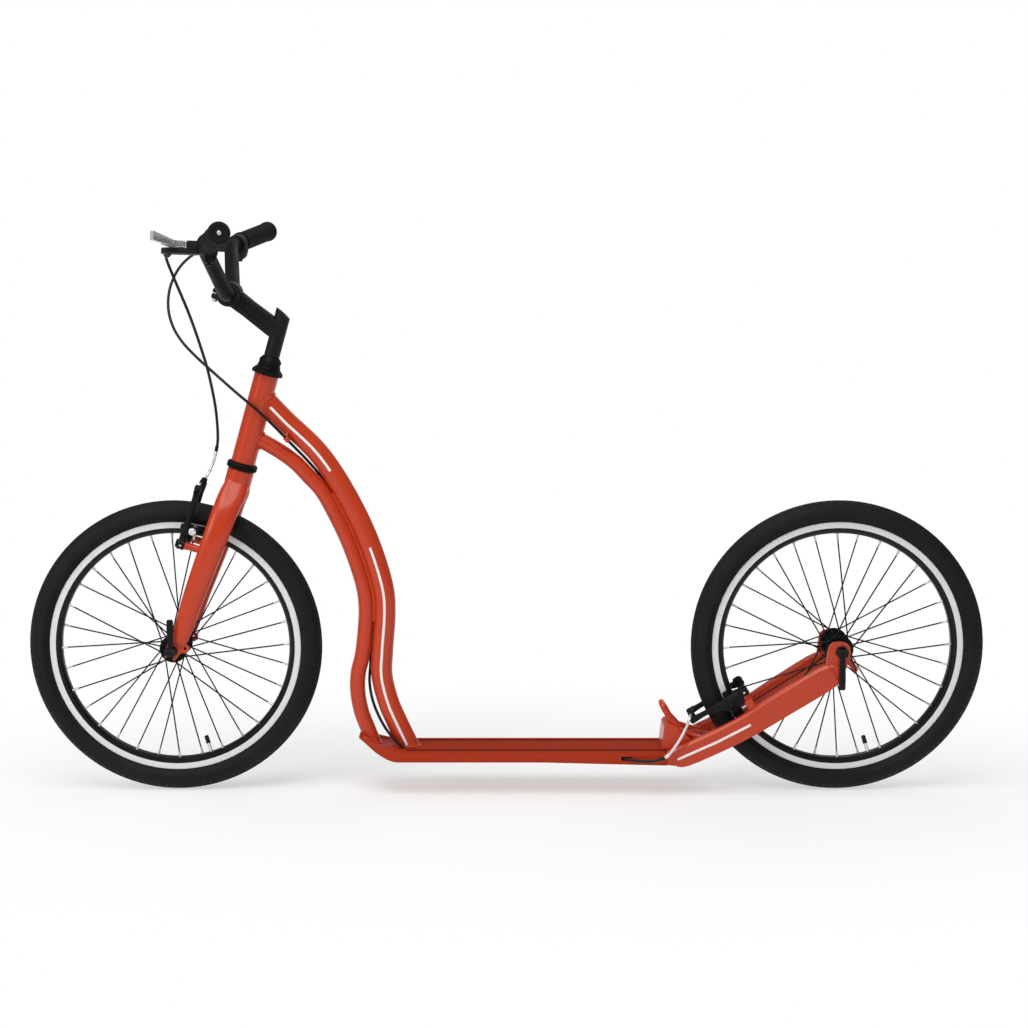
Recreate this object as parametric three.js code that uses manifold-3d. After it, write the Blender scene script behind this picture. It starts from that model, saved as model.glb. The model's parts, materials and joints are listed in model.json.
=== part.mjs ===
// A kick bike: a low footboard between two 20 inch spoked wheels, a frame of two bent tubes, a quill
// stem with a riser handlebar, and a rim brake on each wheel.
// Lengths are millimetres and angles are degrees. The bike points along -X, the rider's left is -Y,
// the ground is Z = 0 and the origin lies midway between the two tyres' footprints.
import * as THREE from "three";
import { mergeVertices } from "three/addons/utils/BufferGeometryUtils.js";
import Module from "manifold-3d";

const wasm = await Module();
wasm.setup();

// Clearances
const seatGap = 0.3; // between pieces that touch, and round a shaft in its hole
const overrun = 5; // how far a cutter passes the wall that it cuts
const weldDistance = 0.0001;
const degree = Math.PI / 180;

// Wheels
const wheelbase = 1108;
const tyreWidth = 42;
const tyreWall = 3.2;
const beadDepth = 2.5; // from the rim's edge down to the tyre's bead
const beadWidth = 2.8;
const rimRadius = 210;
const tyreHeight = 35; // from the rim's edge to the tread
const tyreRadius = rimRadius + tyreHeight;
const rimWidth = 24;
const rimHeight = 16;
const rimWall = 1.6;
const rimBedDepth = 9.5;
const wheelSides = 36;
const tubeRoom = 1.5; // room between the tyre's inside and the inner tube
const valveRadius = 4;
const valveLength = 34; // from the rim's edge towards the hub
const valveAngle = 163;
const spokeCount = 32;
const spokeThickness = 2.2;
const spokeSides = 3;
const spokeCrossAngle = 45; // from a spoke's hole in the flange to its seat in the rim
const spokeTurn = -1; // where the first spoke meets the rim, from the top
const spokeRimOffset = 4;
const spokeHoleRadius = 19;
const flangeRadius = 23;
const flangeThickness = 3.2;
const hubWaistRadius = 14;
const hubEndRadius = 13;
const hubBoreRadius = 9;
const hubSides = 16;
const axleRadius = 4.9;
const axleBoreRadius = 2.8;
const coneRadius = 8.6;
const coneLength = 14;
const skewerRadius = 2.4;
const skewerNutRadius = 9;
const skewerNutLength = 11;
const camHousingRadius = 10;
const camHousingLength = 4;
const camBarrelRadius = 6.5;
const camBarrelLength = 18;
const quickLeverThickness = 5;
const quickLeverWidth = 12;
const front = { hubWidth: 100, flangeSpacing: 66, leverLength: 55 };
const rear = { hubWidth: 110, flangeSpacing: 72, leverLength: 62 };
const hubEndInset = 4; // from the dropout's inner face to the hub shell's end
const dropoutThickness = 6;
const dropoutRadius = 16;

// Steering
const headTilt = 15.8; // of the steering axis from upright
const forkRake = 28.5; // from the steering axis forward to the front axle
const headTubeLength = 152;
const headTubeRadius = 20;
const headTubeBoreRadius = 17;
const headTubeSides = 24;
const steererRadius = 12.7;
const steererBoreRadius = 11.4;
const cupPress = 10; // how far a cup reaches into the head tube
const cupBoreRadius = 14;
const lowerCupRadius = 25.5;
const lowerCupHeight = 6.2;
const crownRaceHeight = 4.5;
const upperCupRadius = 22;
const upperCupHeight = 3.7;
const topRaceRadius = 26;
const topRaceHeight = 13.5;
const locknutRadius = 19;
const locknutHeight = 16;
const locknutLip = 6;
const headsetSides = 16;

// Fork
const crownRadius = 22;
const crownHeight = 34;
const crownClearance = 37.8; // from the crown down to the tyre
const crownTaperShare = 0.9; // of the crown's radius, at its lower end
const crownTaperHeightShare = 0.8;
const lowerHeadsetHeight = lowerCupHeight + crownRaceHeight + 3 * seatGap;
// From the head tube's lower end down to the front axle
const forkDrop = tyreRadius + crownClearance + crownHeight + lowerHeadsetHeight;
const legSides = 10;
const legSquareness = 0.8; // 1 is an ellipse, less is squarer
const brakeBossRadius = 7;
const brakePinRadius = 4.6;
const brakeHeadHeight = 2.5;

// Stem and handlebar
const stemReach = 93;
const stemClampHeight = 263.4; // of the clamp, above the head tube's lower end, along the axis
const stemRootHeight = 225.5;
const stemArmHeight = 32;
const stemArmWidth = 27;
const stemGrooveHeight = 13;
const stemGrooveDepth = 3;
const stemPostRadius = 13;
const stemPostTop = 257;
const stemTopSlant = 27;
const quillRadius = 11.05;
const quillDepth = 82; // inside the steerer
const wedgeHeight = 24;
const wedgeSlant = 30;
const expanderRadius = 4;
const expanderHeadRadius = 6.2;
const expanderHeadHeight = 8;
const expanderSink = 22; // of the bolt's head below the post's top
const clampRadius = 20.5;
const clampWidth = 40;
const clampSlot = 2.5;
const clampEarHeight = 18;
const clampEarDrop = 5; // of the ear's middle below the bar's
const clampBoltReach = 21; // from the bar's middle
const clampBoltRadius = 3;
const clampBoltHeadRadius = 4;
const clampBoltHeadHeight = 5;
const barRadius = 11.1;
const barWall = 2.2;
const barWidth = 668;
const barRiseStart = 42; // from the middle to where the bar starts to rise
const barBendSpan = 170; // from the middle to the upper bend
const barRise = 68.9;
const barForward = 37.7;
const barEndRise = 104.3;
const barEndForward = 1;
const barBendRadius = 55;
const barSides = 12;
const gripLength = 130;
const gripRadius = 16.5;
const gripFlangeRadius = 17.5;
const gripFlangeWidth = 4;
const gripRibCount = 4;
const gripRibDepth = 1.4;
const gripEndWall = 3;

// Brake levers
const leverGap = 4.8; // from the grip to the lever's clamp
const leverClampWidth = 14;
const leverClampWall = 4.5;
const leverPivotForward = 40;
const leverPivotRadius = 5;
const leverPinRadius = 3;
const leverBodyHeight = 9;
const leverBodyWidth = 20;
const leverNoseForward = 70;
const leverTipForward = 94;
const leverTipOut = 91;
const leverBladeHeight = 11;
const leverBladeWidth = 9;
const barrelRadius = 6;
const barrelLength = 26;
const barrelForward = 58;
const barrelDrop = 12;

// Rim brakes
const brakeArmLength = 101;
const brakeSpacing = 80; // between the two pivots
const brakeTipSpacing = 64;
const brakeArmThickness = 12;
const brakeArmWidth = 11;
const brakeRootRadius = 9;
const padClearance = 1.5;
const padOffset = 13; // of the pad behind the arm's middle
const padLength = 48;
const padHeight = 11;
const padThickness = 9;
const padStudRadius = 3.6;
const padNutRadius = 6;
const padNutHeight = 5;
const padTrackDepth = 7.6; // from the rim's edge to the middle of the brake track
const noodleRadius = 2.6;
const bootRadius = 4.5;
const bootLength = 30;
const frontBrakeDepth = 32.1; // pivots below the rim's edge
const frontBrakeLead = 10.3; // pivots ahead of the line from the front axle along the steering axis
const frontBrakeTilt = 1.5;
const rearBrakeDepth = 34.8; // pivots below the rim's edge
const rearBrakeFall = 24.08; // pivots below the level line forward from the rear axle
const rearBrakeSlope = 30.8; // of the arms below level

// Frame
const deckTop = 74;
const deckThickness = 18;
const deckRearThickness = 24;
const deckWidth = 110;
const deckFrontSetback = 378; // from the front axle back to where the nose starts
const deckRearSetback = 254; // from the rear axle forward to the board's end
const deckFront = deckFrontSetback - wheelbase / 2;
const deckRear = wheelbase / 2 - deckRearSetback;
const deckWall = 4;
const deckChamberWidth = 62;
const deckGrooveWidth = 2.4;
const deckGrooveDepth = 1.2;
const deckGrooveSpacing = 74;
const noseLength = 71;
const noseRise = 22;
const noseTipWidth = 52;
const noseTipThickness = 5;
const upperTubeHeight = 36; // across the tube in the bike's plane
const upperTubeWidth = 31;
const upperTubeWall = 2;
const upperTubeHead = 115.2; // where its line meets the steering axis
const upperTubeFoot = deckFront + 16.2;
const lowerTubeDiameter = 26;
const lowerTubeWall = 2;
const lowerTubeHead = 48;
const lowerTubeFoot = deckFront - 44;
const stayThickness = 18;
const stayFrontSpacing = 92; // between the two stays' middles
const stayRearSpacing = 112;
const stayStart = deckRear - 32;
const staySides = 10;
const brakeBridgeWidth = 22;
const heelHeight = 43;
const heelPlateThickness = 4;
const heelPlateStart = deckRear - 41;
const heelPlateEnd = deckRear + 12;
const heelHoopRadius = 5;
const heelHoopHeight = 71.5;
const heelHoopWidth = 44;

// Cables: housings follow hand-set routes
const cableRadius = 2.4;
const cableSides = 6;
const frontCableRoute = [
  [-530.1, -180.6, 898],
  [-532.2, -172.9, 896.9],
  [-531, -167, 888],
  [-526, -163, 873],
  [-519, -157, 853],
  [-504.3, -138, 809.3],
  [-496, -112, 774],
  [-490.3, -88, 744],
  [-485.8, -64, 715.9],
  [-481.8, -20, 665.3],
  [-481.5, 5, 638.5],
  [-482.6, 30, 605],
  [-485, 45, 582],
  [-488.4, 50.3, 567.32],
];
const rearLoopRoute = [
  [-530.1, 180.6, 898],
  [-533, 173.4, 896.7],
  [-545, 166.5, 888.5],
  [-559, 156, 873],
  [-569, 139, 852],
  [-573.5, 120, 828],
  [-571, 98, 800],
  [-560, 76, 773],
  [-542, 53, 750],
  [-518, 28, 729],
  [-493, 5, 710],
  [-463, -17, 687],
  [-444, -25, 671.5],
  [-427, -28, 657.5],
  [-411, -27, 643.5],
  [-394.9, -24, 628.4],
];
const frameCableRoute = [
  [-394.5, -23.9, 628],
  [-379.6, -21.5, 612.5],
  [-362.1, -18, 593.5],
  [-351, -9.5, 580],
  [-341.5, 0, 568.5],
  [-331.5, 9, 556],
  [-318, 13.5, 539.5],
  [-299, 13.5, 514.6],
  [-284.5, 13, 495.2],
  [-265.4, 13, 459.2],
  [-246.9, 13, 416.2],
  [-231.2, 13, 379.4],
  [-223, 13, 336.4],
  [-221, 13, 300.4],
  [-223.6, 12.5, 268],
  [-226.8, 11, 240],
  [-229, 5, 210],
  [-230.2, 0, 181],
  [-223.5, -3, 146],
  [-204.5, -12, 107.5],
  [-186, -20, 86],
  [-172, -23.5, 74.5],
  [-158, -25.5, 67],
  [-140, -26, 65],
  [-60, -25, 65],
  [60, -25, 65],
  [140, -26, 64.6],
  [166, -31, 64],
  [186, -43, 63.4],
  [203, -56, 62.6],
  [222, -62.5, 61.2],
  [243, -65.8, 62],
  [262.3, -65.5, 66.75],
];

// Materials
function finish(color, roughness, metalness) {
  return new THREE.MeshStandardMaterial({ color, roughness, metalness });
}
const redPaint = finish(0xd23b22, 0.35, 0.1);
const blackPaint = finish(0x1d1d1f, 0.45, 0.2);
const blackRubber = finish(0x161616, 0.85, 0);
const blackPlastic = finish(0x1a1a1a, 0.6, 0);
const silverMetal = finish(0xc9ccd0, 0.3, 0.9);
const spokeSteel = finish(0x202124, 0.4, 0.6);

// Solids from geometries, and meshes from solids
function solid(geometry) {
  const bare = geometry.index ? geometry.toNonIndexed() : geometry.clone();
  bare.deleteAttribute("normal");
  bare.deleteAttribute("uv");
  const merged = mergeVertices(bare, weldDistance);
  const index = merged.index.array;
  const triangles = [];
  for (let i = 0; i < index.length; i += 3) {
    const [a, b, c] = [index[i], index[i + 1], index[i + 2]];
    if (a !== b && b !== c && c !== a) triangles.push(a, b, c);
  }
  const vertProperties = merged.attributes.position.array;
  const build = (order) =>
    new wasm.Manifold(new wasm.Mesh({ numProp: 3, vertProperties, triVerts: new Uint32Array(order) }));
  const made = build(triangles);
  if (made.volume() > 0) return made;
  const flipped = [];
  for (let i = 0; i < triangles.length; i += 3) {
    flipped.push(triangles[i], triangles[i + 2], triangles[i + 1]);
  }
  return build(flipped);
}

function geometryOf(made) {
  const mesh = made.getMesh();
  const position = new Float32Array(mesh.numVert * 3);
  for (let i = 0; i < mesh.numVert; i += 1) {
    position.set(mesh.vertProperties.subarray(i * mesh.numProp, i * mesh.numProp + 3), i * 3);
  }
  const indexed = new THREE.BufferGeometry();
  indexed.setAttribute("position", new THREE.BufferAttribute(position, 3));
  indexed.setIndex(new THREE.BufferAttribute(mesh.triVerts.slice(), 1));
  const faceted = indexed.toNonIndexed();
  faceted.computeVertexNormals();
  return faceted;
}

function addPiece(parent, name, made, material) {
  const mesh = new THREE.Mesh(geometryOf(made), material);
  mesh.name = name;
  parent.add(mesh);
  return mesh;
}

function joined(parts) {
  return parts.reduce((whole, part) => whole.add(part));
}

// Basic solids
const up = new THREE.Vector3(0, 1, 0);

function rod(from, to, radius, sides = 12) {
  const line = new THREE.Vector3().subVectors(to, from);
  const geometry = new THREE.CylinderGeometry(radius, radius, line.length(), sides);
  geometry.applyQuaternion(new THREE.Quaternion().setFromUnitVectors(up, line.clone().normalize()));
  const middle = new THREE.Vector3().addVectors(from, to).multiplyScalar(0.5);
  return solid(geometry.translate(middle.x, middle.y, middle.z));
}

function box(low, high) {
  const size = new THREE.Vector3().subVectors(high, low);
  const middle = new THREE.Vector3().addVectors(low, high).multiplyScalar(0.5);
  const geometry = new THREE.BoxGeometry(size.x, size.y, size.z);
  return solid(geometry.translate(middle.x, middle.y, middle.z));
}

function vec(x, y, z) {
  return new THREE.Vector3(x, y, z);
}

// A ring or disc turned about Y, from [radius, y] points
function turnedY(profile, sides) {
  const points = profile.map(([radius, y]) => new THREE.Vector2(radius, y));
  return solid(new THREE.LatheGeometry(points, sides));
}

// A ring or disc turned about Z, from [radius, z] points
function turnedZ(profile, sides) {
  const points = profile.map(([radius, z]) => new THREE.Vector2(radius, z));
  return solid(new THREE.LatheGeometry(points, sides).rotateX(90 * degree));
}

// A plate cut from an outline of [x, z] points, between two Y values
function plate(outline, lowY, highY) {
  const shape = new THREE.Shape(outline.map(([x, z]) => new THREE.Vector2(x, z)));
  const geometry = new THREE.ExtrudeGeometry(shape, { depth: highY - lowY, bevelEnabled: false });
  return solid(geometry.rotateX(90 * degree).translate(0, highY, 0));
}

// A closed skin over a row of rings with equally many points
function loft(rings) {
  const count = rings[0].length;
  const position = rings.flat().flatMap((p) => [p.x, p.y, p.z]);
  const index = [];
  for (let r = 0; r + 1 < rings.length; r += 1) {
    for (let i = 0; i < count; i += 1) {
      const [a, b] = [r * count + i, r * count + ((i + 1) % count)];
      index.push(a, b, b + count, a, b + count, a + count);
    }
  }
  const last = (rings.length - 1) * count;
  for (let i = 1; i + 1 < count; i += 1) index.push(0, i + 1, i, last, last + i, last + i + 1);
  const geometry = new THREE.BufferGeometry();
  geometry.setAttribute("position", new THREE.Float32BufferAttribute(position, 3));
  geometry.setIndex(index);
  return solid(geometry);
}

// A rounded ring about a middle point, spread along two directions
function roundRing(middle, first, firstHalf, second, secondHalf, sides, squareness = 1) {
  return Array.from({ length: sides }, (_, i) => {
    const angle = (360 * degree * i) / sides;
    const share = (value) => Math.sign(value) * Math.abs(value) ** squareness;
    return middle
      .clone()
      .addScaledVector(first, firstHalf * share(Math.cos(angle)))
      .addScaledVector(second, secondHalf * share(Math.sin(angle)));
  });
}

// Stations for a sweep: points with the directions in which the sweep passes them
function station(curve, share) {
  return { point: curve.getPointAt(share), tangent: curve.getTangentAt(share) };
}

// Stations along a curve, closer together where it turns
const turnShare = 0.7;
const finePoints = 300;

function bendStations(curve, steps) {
  const tangents = Array.from({ length: finePoints + 1 }, (_, i) => curve.getTangentAt(i / finePoints));
  const turns = tangents.slice(1).map((tangent, i) => tangent.angleTo(tangents[i]));
  const total = turns.reduce((sum, turn) => sum + turn, 0);
  const shares = [0];
  let passed = 0;
  turns.forEach((turn, i) => {
    passed += (turnShare * turn) / total + (1 - turnShare) / finePoints;
    if (passed >= shares.length / steps - weldDistance) shares.push((i + 1) / finePoints);
  });
  return shares.map((share) => station(curve, share));
}

// Stations of straight runs joined by bends, as a tube bender makes them
const bendSteps = 3;

function bentStations(corners, bendRadius) {
  const last = corners.length - 1;
  const direction = (i) => new THREE.Vector3().subVectors(corners[i + 1], corners[i]).normalize();
  const stations = [{ point: corners[0], tangent: direction(0) }];
  for (let i = 1; i < last; i += 1) {
    const [before, after] = [direction(i - 1), direction(i)];
    const setback = bendRadius * Math.tan(before.angleTo(after) / 2);
    const enter = corners[i].clone().addScaledVector(before, -setback);
    const leave = corners[i].clone().addScaledVector(after, setback);
    const bend = new THREE.QuadraticBezierCurve3(enter, corners[i], leave);
    for (let step = 0; step <= bendSteps; step += 1) stations.push(station(bend, step / bendSteps));
  }
  stations.push({ point: corners[last], tangent: direction(last - 1) });
  return stations;
}

// A rod swept through stations; the first half size lies across the bike, the second in its plane
function swept(stations, halfSide, halfUp, sides) {
  let side = vec(0, 1, 0);
  if (Math.abs(stations[0].tangent.y) > 0.5) side = vec(1, 0, 0);
  const rings = stations.map(({ point, tangent }) => {
    side = side.clone().addScaledVector(tangent, -side.dot(tangent)).normalize();
    const upward = new THREE.Vector3().crossVectors(tangent, side);
    return roundRing(point, side, halfSide, upward, halfUp, sides);
  });
  return loft(rings);
}

// A hollow tube, open at both ends
function hollow(stations, halfSide, halfUp, wall, sides, boreSides) {
  const first = stations[0];
  const last = stations[stations.length - 1];
  const longer = [
    { point: first.point.clone().addScaledVector(first.tangent, -overrun), tangent: first.tangent },
    ...stations.slice(1, -1),
    { point: last.point.clone().addScaledVector(last.tangent, overrun), tangent: last.tangent },
  ];
  const bore = swept(longer, halfSide - wall, halfUp - wall, boreSides);
  return swept(stations, halfSide, halfUp, sides).subtract(bore);
}

function cable(route, radius, steps) {
  const curve = new THREE.CatmullRomCurve3(route.map((p) => vec(...p)), false, "centripetal");
  return swept(bendStations(curve, steps), radius, radius, cableSides);
}

// Places that more than one piece follows
const frontAxle = vec(-wheelbase / 2, 0, tyreRadius);
const rearAxle = vec(wheelbase / 2, 0, tyreRadius);
const along = vec(Math.sin(headTilt * degree), 0, Math.cos(headTilt * degree));
const across = vec(Math.cos(headTilt * degree), 0, -Math.sin(headTilt * degree));
const headBottom = frontAxle.clone().addScaledVector(across, forkRake).addScaledVector(along, forkDrop);
const onSteeringAxis = (height) => headBottom.clone().addScaledVector(along, height);

const bike = new THREE.Group();
const steering = new THREE.Group();
steering.position.copy(headBottom);
steering.rotation.y = headTilt * degree;
bike.add(steering);
steering.updateMatrix();

// Wheel: tyre, inner tube with its valve, rim, two sets of spokes and hub shell
const beadRadius = rimRadius - beadDepth;
const beadHalf = rimWidth / 2 - rimWall - seatGap;
const tyreArcRadius = tyreWidth / 2;
const tyreArcCentre = tyreRadius - tyreArcRadius;

function arcPoint(radius, angle) {
  return [tyreArcCentre + radius * Math.cos(angle * degree), radius * Math.sin(angle * degree)];
}

function tyreSolid() {
  const outer = [-112, -88, -58, -28, 0, 28, 58, 88, 112].map((angle) => arcPoint(tyreArcRadius, angle));
  const inner = [100, 38, -38, -100].map((angle) => arcPoint(tyreArcRadius - tyreWall, angle));
  const edge = rimRadius + seatGap;
  return turnedY(
    [
      [beadRadius, -beadHalf],
      [edge, -beadHalf],
      ...outer,
      [edge, beadHalf],
      [beadRadius, beadHalf],
      [beadRadius, beadHalf - beadWidth],
      ...inner,
      [beadRadius, beadWidth - beadHalf],
      [beadRadius, -beadHalf],
    ],
    wheelSides,
  );
}

function valveRod(radius, fromRadius, toRadius) {
  const direction = vec(Math.sin(valveAngle * degree), 0, Math.cos(valveAngle * degree));
  const from = direction.clone().multiplyScalar(fromRadius);
  return rod(from, direction.clone().multiplyScalar(toRadius), radius, 8);
}

function innerTubeSolid() {
  const radius = tyreArcRadius - tyreWall - tubeRoom;
  const low = beadRadius - rimBedDepth + beadDepth + tubeRoom * 2;
  const ring = turnedY(
    [
      [low, -beadHalf / 2],
      arcPoint(radius, -90),
      arcPoint(radius, -38),
      arcPoint(radius, 38),
      arcPoint(radius, 90),
      [low, beadHalf / 2],
      [low, -beadHalf / 2],
    ],
    wheelSides,
  );
  return ring.add(valveRod(valveRadius, rimRadius - valveLength, tyreArcCentre));
}

function rimSolid() {
  const half = rimWidth / 2;
  const bed = rimRadius - rimBedDepth;
  const apex = rimRadius - rimHeight;
  const ring = turnedY(
    [
      [rimRadius, -half],
      [bed - rimWall, -half],
      [apex, -half / 2],
      [apex, half / 2],
      [bed - rimWall, half],
      [rimRadius, half],
      [rimRadius, half - rimWall],
      [bed, half - rimWall],
      [bed, rimWall - half],
      [rimRadius, rimWall - half],
      [rimRadius, -half],
    ],
    wheelSides,
  );
  return ring.subtract(valveRod(valveRadius + seatGap, apex - overrun, rimRadius + overrun));
}

function spokesSolid(side, flangeSpacing) {
  const hubY = side * (flangeSpacing / 2 + flangeThickness / 2 + seatGap + spokeThickness * 1.3);
  const rimY = side * spokeRimOffset;
  const rimSeat = (rimRadius - rimHeight) * Math.cos((180 * degree) / wheelSides) - seatGap;
  const first = side < 0 ? 0 : 1;
  const spokes = [];
  for (let k = first; k < spokeCount; k += 2) {
    const lean = k % 4 === 0 || k % 4 === 3 ? 1 : -1;
    const rimAngle = (spokeTurn + (360 / spokeCount) * k) * degree;
    const hubAngle = rimAngle + lean * spokeCrossAngle * degree;
    const atHub = vec(spokeHoleRadius * Math.sin(hubAngle), hubY, spokeHoleRadius * Math.cos(hubAngle));
    const atRim = vec(rimSeat * Math.sin(rimAngle), rimY, rimSeat * Math.cos(rimAngle));
    spokes.push(rod(atHub, atRim, spokeThickness / 2, spokeSides));
  }
  return joined(spokes);
}

function hubSolid(hubWidth, flangeSpacing) {
  const end = hubWidth / 2 - hubEndInset;
  const outside = flangeSpacing / 2 + flangeThickness / 2;
  const inside = flangeSpacing / 2 - flangeThickness / 2;
  const waist = inside - (flangeRadius - hubWaistRadius) / 2;
  const half = [
    [hubBoreRadius, end],
    [hubEndRadius, end],
    [hubEndRadius, outside],
    [flangeRadius, outside],
    [flangeRadius, inside],
    [hubWaistRadius, waist],
  ];
  const other = half.map(([radius, y]) => [radius, -y]).reverse();
  return turnedY([...half, ...other, half[0]], hubSides);
}

function axleSolid(hubWidth) {
  const face = hubWidth / 2;
  const end = face + dropoutThickness - seatGap;
  const half = [
    [axleBoreRadius, end],
    [axleRadius, end],
    [axleRadius, face],
    [coneRadius, face],
    [coneRadius, face - coneLength],
    [axleRadius, face - coneLength],
  ];
  const other = half.map(([radius, y]) => [radius, -y]).reverse();
  return turnedY([...half, ...other, half[0]], 12);
}

// Skewer: the cam housing on the left, a rod through the hollow axle, and the nut on the right
function skewerSolid(hubWidth) {
  const outside = hubWidth / 2 + dropoutThickness + 2 * seatGap;
  return turnedY(
    [
      [0, -outside - camHousingLength],
      [camHousingRadius, -outside - camHousingLength],
      [camHousingRadius, -outside],
      [skewerRadius, -outside],
      [skewerRadius, outside],
      [skewerNutRadius, outside],
      [skewerNutRadius, outside + skewerNutLength],
      [0, outside + skewerNutLength],
    ],
    12,
  );
}

// Lever on its cam barrel; the barrel's middle is the origin and the lever points up
function quickLeverSolid(length) {
  const barrel = rod(vec(-camBarrelLength / 2, 0, 0), vec(camBarrelLength / 2, 0, 0), camBarrelRadius, 12);
  const half = quickLeverWidth / 2;
  const corner = quickLeverWidth / 4;
  const blade = plate(
    [
      [-half, 0],
      [half, 0],
      [half, length - corner],
      [half - corner, length],
      [corner - half, length],
      [-half, length - corner],
    ],
    -quickLeverThickness / 2,
    quickLeverThickness / 2,
  );
  return barrel.add(blade);
}

function addWheel(name, axle, end, leverTurn) {
  const wheel = new THREE.Group();
  wheel.position.copy(axle);
  bike.add(wheel);
  addPiece(wheel, name + "_tyre", tyreSolid(), blackRubber);
  addPiece(wheel, name + "_inner_tube", innerTubeSolid(), blackRubber);
  addPiece(wheel, name + "_rim", rimSolid(), silverMetal);
  addPiece(wheel, name + "_left_spokes", spokesSolid(-1, end.flangeSpacing), spokeSteel);
  addPiece(wheel, name + "_right_spokes", spokesSolid(1, end.flangeSpacing), spokeSteel);
  addPiece(wheel, name + "_hub", hubSolid(end.hubWidth, end.flangeSpacing), blackPaint);
  addPiece(wheel, name + "_axle", axleSolid(end.hubWidth), silverMetal);
  addPiece(wheel, name + "_skewer", skewerSolid(end.hubWidth), blackPaint);
  const lever = addPiece(wheel, name + "_quick_lever", quickLeverSolid(end.leverLength), blackPaint);
  const outside = end.hubWidth / 2 + dropoutThickness + 2 * seatGap;
  lever.position.y = -(outside + camHousingLength + seatGap + camBarrelRadius);
  lever.rotation.y = leverTurn * degree;
}
addWheel("front", frontAxle, front, 0);
addWheel("rear", rearAxle, rear, 180);

// Head tube and headset, in the steering frame: Z runs up the steering axis from the head tube's end
addPiece(
  steering,
  "head_tube",
  turnedZ(
    [
      [headTubeBoreRadius, 0],
      [headTubeRadius, 0],
      [headTubeRadius, headTubeLength],
      [headTubeBoreRadius, headTubeLength],
      [headTubeBoreRadius, 0],
    ],
    headTubeSides,
  ),
  redPaint,
);

const pressRadius = headTubeBoreRadius - 2 * seatGap;
const raceBore = steererRadius + seatGap;
const lowerCupBottom = -seatGap - lowerCupHeight;
const crownRaceTop = lowerCupBottom - seatGap;
const crownTop = crownRaceTop - crownRaceHeight - seatGap;
const upperCupTop = headTubeLength + seatGap + upperCupHeight;
const topRaceBottom = headTubeLength + 2 * seatGap;
const topRaceTop = topRaceBottom + topRaceHeight;
const locknutBottom = topRaceTop + seatGap;
const locknutTop = locknutBottom + locknutHeight;
const steererTop = locknutTop - locknutLip - seatGap;

addPiece(
  steering,
  "lower_headset_cup",
  turnedZ(
    [
      [cupBoreRadius, lowerCupBottom],
      [lowerCupRadius, lowerCupBottom],
      [lowerCupRadius, -seatGap],
      [pressRadius, -seatGap],
      [pressRadius, cupPress],
      [cupBoreRadius, cupPress],
      [cupBoreRadius, lowerCupBottom],
    ],
    headsetSides,
  ),
  blackPaint,
);
addPiece(
  steering,
  "crown_race",
  turnedZ(
    [
      [raceBore, crownRaceTop - crownRaceHeight],
      [lowerCupRadius, crownRaceTop - crownRaceHeight],
      [lowerCupRadius, crownRaceTop],
      [raceBore, crownRaceTop],
      [raceBore, crownRaceTop - crownRaceHeight],
    ],
    headsetSides,
  ),
  blackPaint,
);
addPiece(
  steering,
  "upper_headset_cup",
  turnedZ(
    [
      [cupBoreRadius, headTubeLength - cupPress],
      [pressRadius, headTubeLength - cupPress],
      [pressRadius, headTubeLength + seatGap],
      [upperCupRadius, headTubeLength + seatGap],
      [upperCupRadius, upperCupTop],
      [cupBoreRadius, upperCupTop],
      [cupBoreRadius, headTubeLength - cupPress],
    ],
    headsetSides,
  ),
  blackPaint,
);
addPiece(
  steering,
  "headset_top_race",
  turnedZ(
    [
      [upperCupRadius + 2 * seatGap, topRaceBottom],
      [topRaceRadius, topRaceBottom],
      [topRaceRadius, topRaceBottom + topRaceHeight / 3],
      [locknutRadius, topRaceTop],
      [raceBore, topRaceTop],
      [raceBore, upperCupTop + seatGap],
      [upperCupRadius + 2 * seatGap, upperCupTop + seatGap],
      [upperCupRadius + 2 * seatGap, topRaceBottom],
    ],
    headsetSides,
  ),
  blackPaint,
);
addPiece(
  steering,
  "headset_locknut",
  turnedZ(
    [
      [raceBore, locknutBottom],
      [locknutRadius, locknutBottom],
      [locknutRadius, locknutTop - locknutLip],
      [stemPostRadius + seatGap, locknutTop],
      [steererBoreRadius, locknutTop],
      [steererBoreRadius, steererTop + seatGap],
      [raceBore, steererTop + seatGap],
      [raceBore, locknutBottom],
    ],
    headsetSides,
  ),
  blackPaint,
);

// Fork: steerer and crown in one, and two tapering legs with their dropouts
addPiece(
  steering,
  "fork_steerer",
  turnedZ(
    [
      [steererBoreRadius, crownTop - crownHeight],
      [crownRadius * crownTaperShare, crownTop - crownHeight],
      [crownRadius, crownTop - crownHeight * crownTaperHeightShare],
      [crownRadius, crownTop],
      [steererRadius, crownTop],
      [steererRadius, steererTop],
      [steererBoreRadius, steererTop],
      [steererBoreRadius, crownTop - crownHeight],
    ],
    headsetSides,
  ),
  redPaint,
);

// Each leg station: share of the drop to the axle, share of the rake, half spacing, half depth and
// half width of the leg's section
const legRootSpacing = 18;
const legSpacing = 106;
const legTopDepth = 43;
const legTopWidth = 28;
const legStationShares = [
  [0.085, 0, 0, 0.78, 0.6],
  [0.15, 0.02, 0.28, 1, 1],
  [0.222, 0.12, 0.6, 0.97, 1],
  [0.31, 0.2, 0.82, 0.92, 0.96],
  [0.4, 0.28, 0.92, 0.86, 0.92],
  [0.56, 0.45, 0.96, 0.75, 0.85],
  [0.72, 0.6, 0.98, 0.64, 0.76],
  [0.93, 0.7, 1, 0.51, 0.64],
];

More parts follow.
